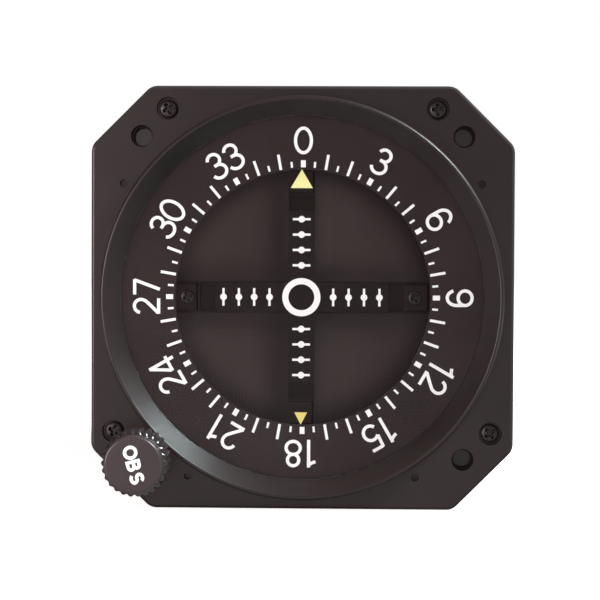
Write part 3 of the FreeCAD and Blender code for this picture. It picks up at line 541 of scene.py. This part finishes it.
# Dial mask: one moulding in matt black, with four domed fields between the arms of a sunk cross.
# The arms carry the deviation scale, and each ends in a window and a raised block.
mask_low, mask_high = node_box("dial_mask")
mask_radius = (mask_high[0] - mask_low[0]) / 2
field_front = mask_low[1]
field_height = 1.2
field_drop = 0.1
field_corner = 3.6
field_gap = 0.35
fall_reach = 9.0
fall_power = 2.2
corner_reach = 1.4 * field_corner
floor = field_front + field_height
mask_back = mask_high[1]
arm_half_x = 2.65
arm_half_z = 2.95
window_near = 17.4
window_far = 20.5
block_near = 20.9
block_far = 25.6
block_skirt = 0.3
block_inset = 0.15
block_bevel = 0.3
block_drop = 0.7
block_face = field_front + block_drop
seam_bevel = 0.02


def domed_field(sign_x, sign_z, steps=72):
    """Quarter field: its rise is the product of 1 - (1 - d / reach)^fall_power over four distances d.

    They are those to the two arms, to the rim and to the rounded inner corner. The grid runs across
    the width at each height z, from the arm to the rim circle.
    """
    rim = mask_radius - field_gap
    top = math.sqrt(rim ** 2 - arm_half_x ** 2)
    share = np.linspace(0, 1, steps)
    up = arm_half_z + (top - arm_half_z) * np.sin(share * math.pi / 2)[:, None]
    width = np.sqrt(np.maximum(rim ** 2 - up ** 2, arm_half_x ** 2)) - arm_half_x
    across = arm_half_x + width * (0.5 - 0.5 * np.cos(share * math.pi))[None, :]
    from_corner_x = field_corner - (across - arm_half_x)
    from_corner_z = field_corner - (up - arm_half_z)
    corner = field_corner - np.hypot(np.maximum(from_corner_x, 0), np.maximum(from_corner_z, 0))
    rise = np.ones_like(across)
    for distance, reach in ((across - arm_half_x, fall_reach), (up + 0 * across - arm_half_z, fall_reach),
                            (rim - np.hypot(across, up), fall_reach), (corner, corner_reach)):
        rise = rise * (1 - (1 - np.clip(distance / reach, 0, 1)) ** fall_power)
    level = floor + field_drop - (field_height + field_drop) * rise
    front = np.stack([sign_x * across, level, sign_z * (up + 0 * across)], -1).reshape(-1, 3)
    back = front.copy()
    back[:, 1] = mask_back
    count = len(front)
    faces = list(grid_faces(steps, steps))
    under = [np.asarray(face)[::-1] + count for face in faces]
    grid = np.arange(count).reshape(steps, steps)
    border = np.concatenate([grid[0, :-1], grid[:-1, -1], grid[-1, :0:-1], grid[:0:-1, 0]])
    beside = np.roll(border, -1)
    walls = [np.array([a, a + count, b + count, b]) for a, b in zip(border, beside)]
    faces = faces + under + walls
    if sign_x * sign_z < 0:
        faces = [np.asarray(face)[::-1] for face in faces]
    return np.concatenate([front, back]), faces


def plinth(x_range, z_range, front, back, bevel):
    """Block with its front edge bevelled, as three rings of corners from back to front."""
    (x0, x1), (z0, z1) = x_range, z_range
    rings = []
    for depth, inset in ((back, 0), (front + bevel, 0), (front, bevel)):
        rings += [(x0 + inset, depth, z0 + inset), (x1 - inset, depth, z0 + inset),
                  (x1 - inset, depth, z1 - inset), (x0 + inset, depth, z1 - inset)]
    faces = list(grid_faces(3, 4, wrap=True)) + [np.array([3, 2, 1, 0]), np.array([8, 9, 10, 11])]
    return np.array(rings), faces


arm_shade = 0.3
rim_shade = 0.2
shade_reach = 7.5
rim_shade_reach = 6.0
darkest = 0.64


def shade_by_form(material):
    """Paints shade into a finish's colour: darker towards the arms and the rim, where the moulding lies in
    shade.

    The factor is the product of smooth steps of |x| and |z| beyond the arm, and of the way to the rim.
    """
    nodes, links = material.node_tree.nodes, material.node_tree.links
    base = nodes["Principled BSDF"].inputs["Base Color"]
    apart = nodes.new("ShaderNodeSeparateXYZ")
    links.new(nodes["Texture Coordinate"].outputs["Object"], apart.inputs["Vector"])
    flat = nodes.new("ShaderNodeCombineXYZ")
    links.new(apart.outputs["X"], flat.inputs["X"])
    links.new(apart.outputs["Z"], flat.inputs["Z"])
    far = nodes.new("ShaderNodeVectorMath")
    far.operation = "LENGTH"
    links.new(flat.outputs["Vector"], far.inputs[0])
    rim_limits = ((mask_radius - rim_shade) * mm, (mask_radius - rim_shade_reach) * mm)
    factor = ramp(material, far.outputs["Value"], rim_limits, (darkest, 1.0), smooth=True)
    for axis, middle, half in (("X", mask_shift[0], arm_half_x), ("Z", mask_shift[1], arm_half_z)):
        centred = combine(material, "SUBTRACT", apart.outputs[axis], middle * mm)
        distance = combine(material, "ABSOLUTE", centred)
        limits = ((half - arm_shade) * mm, (half + shade_reach) * mm)
        share = ramp(material, distance, limits, (darkest, 1.0), smooth=True)
        factor = combine(material, "MULTIPLY", factor, share)
    scaled = nodes.new("ShaderNodeVectorMath")
    scaled.operation = "SCALE"
    links.new(base.links[0].from_socket, scaled.inputs[0])
    links.new(factor, scaled.inputs["Scale"])
    links.new(scaled.outputs["Vector"], base)


def shifted(part):
    """Part moved to the mask's place, a little off the card's centre as the photo shows it."""
    points, faces = part
    return np.asarray(points) + [mask_shift[0], 0, mask_shift[1]], faces


mask_plastic = surface("mask_plastic", (0.039, 0.027, 0.0275), 0.62, specular=0.12, cloud=(45.0, 0.08),
                       grain=(5200.0, 0.035))
# The fields' colour carries painted shade, darker towards the arms and the rim.
shade_by_form(mask_plastic)
fields = joined_parts([domed_field(x, z) for x in (-1, 1) for z in (-1, 1)])
mask_fields = lay_mesh("mask_fields", *shifted(fields), mask_plastic, "root", slot="mask_black")
arm_x = (-arm_half_x, arm_half_x)
arm_z = (-arm_half_z, arm_half_z)
block_x = (block_inset - arm_half_x, arm_half_x - block_inset)
block_z = (block_inset - arm_half_z, arm_half_z - block_inset)
cross_parts = [plinth((-window_near, window_near), arm_z, floor, mask_back, seam_bevel),
               plinth(arm_x, (arm_half_z, window_near), floor, mask_back, seam_bevel),
               plinth(arm_x, (-window_near, -arm_half_z), floor, mask_back, seam_bevel)]
for sign in (-1, 1):
    arm_end = sorted((sign * (window_far - seam_bevel), sign * (block_far + block_skirt)))
    cross_parts.append(plinth(arm_end, arm_z, floor, mask_back, seam_bevel))
    cross_parts.append(plinth(arm_x, arm_end, floor, mask_back, seam_bevel))
    block_end = sorted((sign * block_near, sign * block_far))
    cross_parts.append(plinth(block_end, block_z, block_face, floor, block_bevel))
    cross_parts.append(plinth(block_x, block_end, block_face, floor, block_bevel))
# The sunk cross takes a darker copy of the mask's colour: painted shade in the recess.
cross_plastic_shaded = surface("cross_plastic_shaded", (0.0175, 0.012, 0.0116), 0.65, specular=0.1, grain=(5200.0, 0.035))
mask_cross = lay_mesh("mask_cross", *shifted(joined_parts(cross_parts)), cross_plastic_shaded, "root", smooth=False,
                      slot="mask_black")
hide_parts("dial_mask")
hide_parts("dial_mask")


# Deviation scale and index marks: printed on the mask. Four dots with a dash through each lie on
# every arm, round a centre circle; yellow index triangles point at the card above and below.
dot_flat = 0.96
dot_rise = 1.4 * ink_thickness


def blob(x, z, radius, front, steps=28):
    """Ink dot: a disc of dot_rise whose edge slopes over the outer share beyond dot_flat."""
    angle = np.linspace(0, 2 * math.pi, steps, endpoint=False)
    ring = np.column_stack([x + radius * np.cos(angle), np.full(steps, front), z + radius * np.sin(angle)])
    inner = np.column_stack([x + dot_flat * radius * np.cos(angle), np.full(steps, front - dot_rise),
                             z + dot_flat * radius * np.sin(angle)])
    faces = list(grid_faces(2, steps, wrap=True)) + [np.arange(steps)[::-1], np.arange(steps) + steps]
    return np.concatenate([ring, inner]), faces


scale_first = 6.42
scale_pitch = 3.1
dot_radius = 0.68
dash_half = 1.78
dash_width = 0.46
dash_layer = 7
circle_radius = 3.23
circle_width = 1.24
scale_parts = []
for arm_turn in (0, 90, 180, 270):
    for number in range(4):
        at = scale_first + number * scale_pitch
        scale_parts.append(about_axis(blob(0, at, dot_radius, floor), arm_turn))
        dash = stroke([(-dash_half, at), (dash_half, at)], dash_width, floor, layer=dash_layer)
        scale_parts.append(about_axis(dash, arm_turn))
circle = bow(0, 0, circle_radius, circle_radius, 0, 356, 90)
scale_parts.append(stroke(circle, circle_width, floor, closed=True))
lay_mesh("deviation_scale", *shifted(joined_parts(scale_parts)), white_ink, "root", smooth=False,
         slot="mask_black")


def triangle(tip, base, half_width, front):
    """Ink triangle on the vertical centre line, from its tip height to its base height."""
    corners = [(0, tip), (-half_width, base), (half_width, base)]
    if tip < base:
        corners = corners[::-1]
    points = [(x, depth, z) for depth in (front + ink_sunk, front - ink_thickness) for x, z in corners]
    faces = [np.array([0, 2, 1]), np.array([3, 4, 5])] + list(grid_faces(2, 3, wrap=True))
    return np.array(points), faces


upper_yellow = surface("upper_yellow", (0.95, 0.93, 0.42), 0.5, specular=0.3, cloud=(700.0, 0.04),
                       grain=(6000.0, 0.02))
lower_yellow = surface("lower_yellow", (0.95, 0.84, 0.26), 0.5, specular=0.3, cloud=(700.0, 0.04),
                       grain=(6000.0, 0.02))
upper_mark = triangle(tip=25.75, base=21.95, half_width=2.24, front=block_face)
lower_mark = triangle(tip=-25.7, base=-23.2, half_width=1.3, front=block_face)
lay_mesh("upper_index", *shifted(upper_mark), upper_yellow, "root", smooth=False, slot="mask_black")
lay_mesh("lower_index", *shifted(lower_mark), lower_yellow, "root", smooth=False, slot="mask_black")


# Knob: a dark moulded grip with shallow flutes, worn glossy, and a grey-brown cap with a rounded edge.
# It is clamped to the shaft, and its function legend is printed across the cap in white.
knob_low, knob_high = node_box("knob")
knob_x = (knob_low[0] + knob_high[0]) / 2
knob_z = (knob_low[2] + knob_high[2]) / 2
grip_radius = (knob_high[0] - knob_low[0]) / 2
cap_radius = 5.6
flute_count = 26
flute_depth = 0.55
flute_power = 0.8
flute_steps = 14
round_steps = 180
cap_round = 0.6
cap_chamfer = 0.3
dome_rise = 0.12
shoulder_at = 3.2
bore_radius = 1.6


def turned_part(outline, flutes=0, depth=0.0):
    """Solid turned about the knob's axis from (radius, distance from the cap, flute share) points.

    Flutes cut share * depth * (1 - |cos(n angle / 2)|^flute_power) into the radius, and both ends
    close on the axis.
    """
    outline = np.array(outline, float)
    steps = max(flutes * flute_steps, round_steps)
    angle = np.linspace(0, 2 * math.pi, steps, endpoint=False)
    wave = np.abs(np.cos(angle * flutes / 2)) ** flute_power
    radius = outline[:, 0:1] - outline[:, 2:3] * depth * (1 - wave)[None, :]
    points = np.stack([knob_x + radius * np.cos(angle), knob_low[1] + outline[:, 1:2] + 0 * angle[None, :],
                       knob_z + radius * np.sin(angle)], -1).reshape(-1, 3)
    rows = len(outline)
    faces = [face[::-1] for face in grid_faces(rows, steps, wrap=True)]
    ring = np.arange(steps)
    beside = (ring + 1) % steps
    centre = np.array([[knob_x, knob_low[1] + outline[0, 1], knob_z],
                       [knob_x, knob_low[1] + outline[-1, 1], knob_z]])
    front = np.stack([np.full(steps, rows * steps), ring, beside], -1)
    last = (rows - 1) * steps
    base = np.stack([np.full(steps, rows * steps + 1), last + beside, last + ring], -1)
    return np.concatenate([points, centre]), [*faces, *front, *base]


cap_outline = [(r * (cap_radius - cap_round), dome_rise * r * r, 0) for r in np.linspace(0.02, 1, 14)]
for turn in np.linspace(0, math.pi / 2, 9)[1:]:
    cap_outline.append((cap_radius - cap_round + cap_round * math.sin(turn),
                        dome_rise + cap_round * (1 - math.cos(turn)), 0))
cap_outline += [(cap_radius, shoulder_at - cap_chamfer, 0), (cap_radius - cap_chamfer, shoulder_at, 0)]
knob_length = knob_high[1] - knob_low[1]
grip_outline = [(cap_radius - 0.2, shoulder_at - 0.35, 0), (cap_radius, shoulder_at - 0.3, 0.0),
                (grip_radius - 0.3, shoulder_at + 0.1, 0.75), (grip_radius - 0.05, shoulder_at + 0.45, 1)]
grip_outline += [(grip_radius, shoulder_at + (knob_length - shoulder_at) * share, 1)
                 for share in np.linspace(0.3, 0.95, 8)]
grip_outline += [(grip_radius - 0.25, knob_length, 0.8), (bore_radius, knob_length, 0)]
knob_plastic = surface("knob_plastic", (0.038, 0.0252, 0.0268), 0.36, specular=0.4, cloud=(220.0, 0.08),
                       grain=(4800.0, 0.04))
grip_plastic = surface("grip_plastic", (0.019, 0.013, 0.014), 0.26, specular=0.6, cloud=(220.0, 0.08),
                       grain=(4800.0, 0.02))
knob_cap = lay_mesh("knob_cap", *turned_part(cap_outline), knob_plastic, "knob_group", slot="knob_plastic")
knob_grip = lay_mesh("knob_grip", *turned_part(grip_outline, flute_count, flute_depth), grip_plastic,
                     "knob_group", slot="knob_plastic")
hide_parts("knob")
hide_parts("knob")

letter_height = 2.75
letter_stroke = 0.62
letter_turn = 75.0
letter_pitch = 2.5
legend_shift = 0.25
legend_lift = 0.005
letter_s = np.vstack([bow(0.0, 0.69, 0.24, 0.2, 25, 255, 20), bow(0.0, 0.30, 0.27, 0.2, 78, -150, 20)])
letter_paths = {
    "O": [(bow(0, 0.5, 0.37, 0.39, 0, 352, 40), True)],
    "B": [([(-0.26, 0.0), (-0.26, 1.0)], False), (bow(0.02, 0.71, 0.2, 0.18, 90, -90, 16), False),
          (bow(0.02, 0.31, 0.25, 0.2, 90, -90, 16), False), ([(-0.26, 0.89), (0.03, 0.89)], False),
          ([(-0.26, 0.52), (0.03, 0.52)], False), ([(-0.26, 0.11), (0.03, 0.11)], False)],
    "S": [(letter_s, False)],
}
legend_parts = []
for place, letter in enumerate("OBS"):
    for path, closed in letter_paths[letter]:
        line = (np.asarray(path, float) - [0, 0.5]) * letter_height + [(place - 1) * letter_pitch, 0]
        points, faces = about_axis(stroke(line, letter_stroke, 0.0, closed), letter_turn)
        radial = np.hypot(points[:, 0] + legend_shift, points[:, 2])
        points[:, 1] += knob_low[1] + dome_rise * (radial / (cap_radius - cap_round)) ** 2 - legend_lift
        points[:, 0] += knob_x + legend_shift
        points[:, 2] += knob_z
        legend_parts.append((points, faces))
lay_mesh("knob_legend", *joined_parts(legend_parts), white_ink, "knob_group", smooth=False,
         slot="knob_plastic")


# Bushes and small gears: free-machining brass, turned, hobbed and left dry.
# They carry the turn of the knob to the card, and that of the card to the resolver.
gear_brass = surface("gear_brass", (0.60, 0.43, 0.18), 0.32, metallic=1.0, specular=0.5,
                     cloud=(500.0, 0.1), grain=(3800.0, 0.02))
dress(gear_brass, "shaft_bushing", "knob_pinion", "idler_gear", "layshaft_front_pinion",
      "layshaft_rear_pinion", "layshaft_bushings")


# Aluminium skeleton: clear anodised plates, posts, rods, the two large wheels and the resolver can.
# The plate that carries the mask is anodised black, since it shows dimly through the windows.
frame_anodise = surface("frame_anodise", (0.48, 0.49, 0.50), 0.36, metallic=0.9, specular=0.5,
                        cloud=(90.0, 0.06), grain=(3000.0, 0.02), stretch=(1, 1, 4))
dress(frame_anodise, "card_gear", "resolver_gear", "resolver_plate", "resolver_body", "mechanism_plate",
      "carrier_posts", "frame_posts", "plate_spacers", "rear_rods", "drive_brackets")
carrier_black = surface("carrier_black", (0.016, 0.0115, 0.011), 0.7, specular=0.1, grain=(3000.0, 0.02))
dress(carrier_black, "mask_carrier")


# Needles, flags and to/from vanes: thin aluminium in enamel, parked out of sight.
# The needles and the to/from vanes are off-white, and the two warning flags are red.
needle_enamel = surface("needle_enamel", (0.84, 0.84, 0.80), 0.45, specular=0.4, grain=(4000.0, 0.02))
flag_enamel = surface("flag_enamel", (0.62, 0.09, 0.035), 0.5, specular=0.35, grain=(4000.0, 0.02))
dress(needle_enamel, "course_needle", "glideslope_needle", "to_vane", "from_vane")
dress(flag_enamel, "navigation_flag", "glideslope_flag")


# Moving-coil drives: natural moulded carriages that slide on the guide rods, copper windings
# and ground magnet bars. The coils that swing the vanes are wound in the same wire.
bobbin_nylon = surface("bobbin_nylon", (0.52, 0.49, 0.40), 0.5, specular=0.4, grain=(2500.0, 0.04))
copper_winding = surface("copper_winding", (0.55, 0.24, 0.10), 0.35, metallic=0.8, specular=0.5,
                         cloud=(1500.0, 0.2), grain=(5000.0, 0.06))
magnet_nickel = surface("magnet_nickel", (0.30, 0.30, 0.31), 0.3, metallic=1.0, specular=0.5,
                        grain=(2500.0, 0.02))
dress(bobbin_nylon, "course_carriage", "glideslope_carriage")
dress(copper_winding, "course_coil", "glideslope_coil", "flag_actuators")
dress(magnet_nickel, "magnet_bars")


# Circuit boards: woven laminate under green resist, with moulded black packages.
# They are stacked in the case behind the mechanism, and the last one serves the rear connector.
board_resist = surface("board_resist", (0.03, 0.16, 0.075), 0.35, specular=0.5, cloud=(300.0, 0.12),
                       grain=(2200.0, 0.03))
package_epoxy = surface("package_epoxy", (0.035, 0.035, 0.038), 0.5, specular=0.4, grain=(3200.0, 0.05))
dress(board_resist, "converter_board", "driver_board", "connector_board")
dress(package_epoxy, "board_components")


# Case, dial frame and rear cover: aluminium in black anodise. The case is a drawn sleeve with fine
# lengthwise grain, and the cover closes it behind with four screws.
case_anodise = surface("case_anodise", (0.040, 0.037, 0.037), 0.42, metallic=0.2, specular=0.4,
                       cloud=(35.0, 0.12), grain=(2600.0, 0.03), stretch=(1, 0.12, 1))
cover_anodise = surface("cover_anodise", (0.036, 0.034, 0.034), 0.45, metallic=0.2, specular=0.4,
                        cloud=(40.0, 0.12), grain=(3200.0, 0.04))
dress(case_anodise, "case")
dress(cover_anodise, "rear_cover", "dial_frame")


# Rear connector: drawn steel shell and hexagonal jackposts round a black moulded block
# with two rows of gilt socket contacts.
tin_steel = surface("tin_steel", (0.50, 0.50, 0.49), 0.33, metallic=1.0, specular=0.5, cloud=(200.0, 0.08),
                    grain=(2600.0, 0.02))
connector_block = surface("connector_block", (0.02, 0.02, 0.022), 0.5, specular=0.4, grain=(3000.0, 0.04))
socket_gilt = surface("socket_gilt", (0.72, 0.50, 0.16), 0.3, metallic=1.0, specular=0.5,
                      grain=(4000.0, 0.02))
dress(tin_steel, "connector_shell", "jackposts")
dress(connector_block, "connector_insert")
insert_low, insert_high = node_box("connector_insert")
upper_count = 19
lower_count = 18
socket_pitch = 2.77
row_half = 1.42
socket_radius = 0.72
socket_bore = 0.5
block_middle = (insert_low[2] + insert_high[2]) / 2


def socket_ring(x, z, steps=24):
    """Contact mouth: rings from the outer edge over a small lip and down the bore to its floor."""
    angle = np.linspace(0, 2 * math.pi, steps, endpoint=False)
    profile = [(socket_radius, 0.0), (socket_radius, 0.1), (socket_bore + 0.08, 0.14), (socket_bore, 0.08),
               (socket_bore, 0.02)]
    rings = []
    for radius, depth in profile:
        rings.append(np.column_stack([x + radius * np.cos(angle), np.full(steps, insert_high[1] + depth),
                                      z + radius * np.sin(angle)]))
    faces = list(grid_faces(len(rings), steps, wrap=True))
    faces += [np.arange(steps) + (len(rings) - 1) * steps, np.arange(steps)[::-1]]
    return np.concatenate(rings), faces


contacts = []
for row, count in ((row_half, upper_count), (-row_half, lower_count)):
    for number in range(count):
        contacts.append(socket_ring((number - (count - 1) / 2) * socket_pitch, block_middle + row))
lay_mesh("connector_contacts", *joined_parts(contacts), socket_gilt, "root", slot="connector_steel")


# Studio: a white table, one low key from the upper right that rakes the recess, a broad soft front,
# a weak shadowless fill from the left, and a world that is white to the camera and dim to the object.
glow_near = 0.25
glow_far = 0.6
glow_least = 0.8


def table_finish():
    """White matt stage, clear from below.

    The camera sees it glow full white far off and glow_least near the object, where the lamps' light
    lifts it over white and only the object's shadow stays a little grey.
    """
    material = bpy.data.materials.new("table_white")
    material.use_nodes = True
    nodes, links = material.node_tree.nodes, material.node_tree.links
    shader = nodes["Principled BSDF"]
    shader.inputs["Base Color"].default_value = (0.3, 0.3, 0.3, 1)
    shader.inputs["Roughness"].default_value = 0.9
    shader.inputs["Specular IOR Level"].default_value = 0.1
    place = nodes.new("ShaderNodeNewGeometry")
    away = nodes.new("ShaderNodeVectorMath")
    away.operation = "LENGTH"
    links.new(place.outputs["Position"], away.inputs[0])
    glow = ramp(material, away.outputs["Value"], (glow_near, glow_far), (glow_least, 1.0))
    bright = nodes.new("ShaderNodeEmission")
    links.new(glow, bright.inputs["Strength"])
    matt = nodes.new("ShaderNodeBsdfDiffuse")
    lit = nodes.new("ShaderNodeAddShader")
    links.new(bright.outputs["Emission"], lit.inputs[0])
    links.new(matt.outputs["BSDF"], lit.inputs[1])
    seen = nodes.new("ShaderNodeLightPath")
    mix = nodes.new("ShaderNodeMixShader")
    links.new(seen.outputs["Is Camera Ray"], mix.inputs["Fac"])
    links.new(shader.outputs["BSDF"], mix.inputs[1])
    links.new(lit.outputs["Shader"], mix.inputs[2])
    side = nodes.new("ShaderNodeNewGeometry")
    open_below = nodes.new("ShaderNodeMixShader")
    links.new(side.outputs["Backfacing"], open_below.inputs["Fac"])
    links.new(mix.outputs["Shader"], open_below.inputs[1])
    links.new(nodes.new("ShaderNodeBsdfTransparent").outputs["BSDF"], open_below.inputs[2])
    links.new(open_below.outputs["Shader"], nodes["Material Output"].inputs["Surface"])
    return material


table_gap = 0.2 * mm
table_level = cad_bounds[0][2] - table_gap
table_half = 3.0
table_mesh = bpy.data.meshes.new("table")
table_mesh.from_pydata([(-table_half, -table_half, table_level), (table_half, -table_half, table_level),
                        (table_half, table_half, table_level), (-table_half, table_half, table_level)],
                       [], [(0, 1, 2, 3)])
table_mesh.materials.append(table_finish())
table = bpy.data.objects.new("table", table_mesh)
bpy.context.scene.collection.objects.link(table)

world = bpy.data.worlds.new("studio")
bpy.context.scene.world = world
world.use_nodes = True
world_nodes, world_links = world.node_tree.nodes, world.node_tree.links
world_nodes.clear()
path_kind = world_nodes.new("ShaderNodeLightPath")
sky_light = 0.16
sky_mirror = 0.1


def sky(colour, strength):
    """Background shader of one colour."""
    node = world_nodes.new("ShaderNodeBackground")
    node.inputs["Color"].default_value = (*colour, 1)
    node.inputs["Strength"].default_value = strength
    return node.outputs["Background"]


def chosen(ray, others, special):
    """Shader that shows special to one kind of ray and others to the rest."""
    mix = world_nodes.new("ShaderNodeMixShader")
    world_links.new(path_kind.outputs[ray], mix.inputs["Fac"])
    world_links.new(others, mix.inputs[1])
    world_links.new(special, mix.inputs[2])
    return mix.outputs["Shader"]


lit_sky = chosen("Is Glossy Ray", sky((1.0, 1.0, 1.0), sky_light), sky((1.0, 0.86, 0.84), sky_mirror))
full_sky = chosen("Is Camera Ray", lit_sky, sky((1.0, 1.0, 1.0), 1.0))
world_links.new(full_sky, world_nodes.new("ShaderNodeOutputWorld").inputs["Surface"])


def lamp(name, place, size, watts, colour):
    """Square area lamp at a place, turned to the middle of the dial."""
    data = bpy.data.lights.new(name, "AREA")
    data.size = size
    data.energy = watts
    data.color = colour
    light = bpy.data.objects.new(name, data)
    bpy.context.scene.collection.objects.link(light)
    light.location = place
    light.rotation_euler = (-Vector(place)).to_track_quat("-Z", "Y").to_euler()
    return light


lamp("key", (0.83, -0.16, 0.9), 0.3, 40.0, (0.88, 1.0, 1.0))
left_lamp = lamp("left", (-0.25, -0.26, 0.03), 0.12, 1.08, (1.0, 0.87, 0.85))
left_lamp.data.use_shadow = False
front_lamp = lamp("front", (-0.1, -1.5, 0.2), 1.0, 8.2, (1.0, 0.98, 0.98))
front_lamp.visible_glossy = False
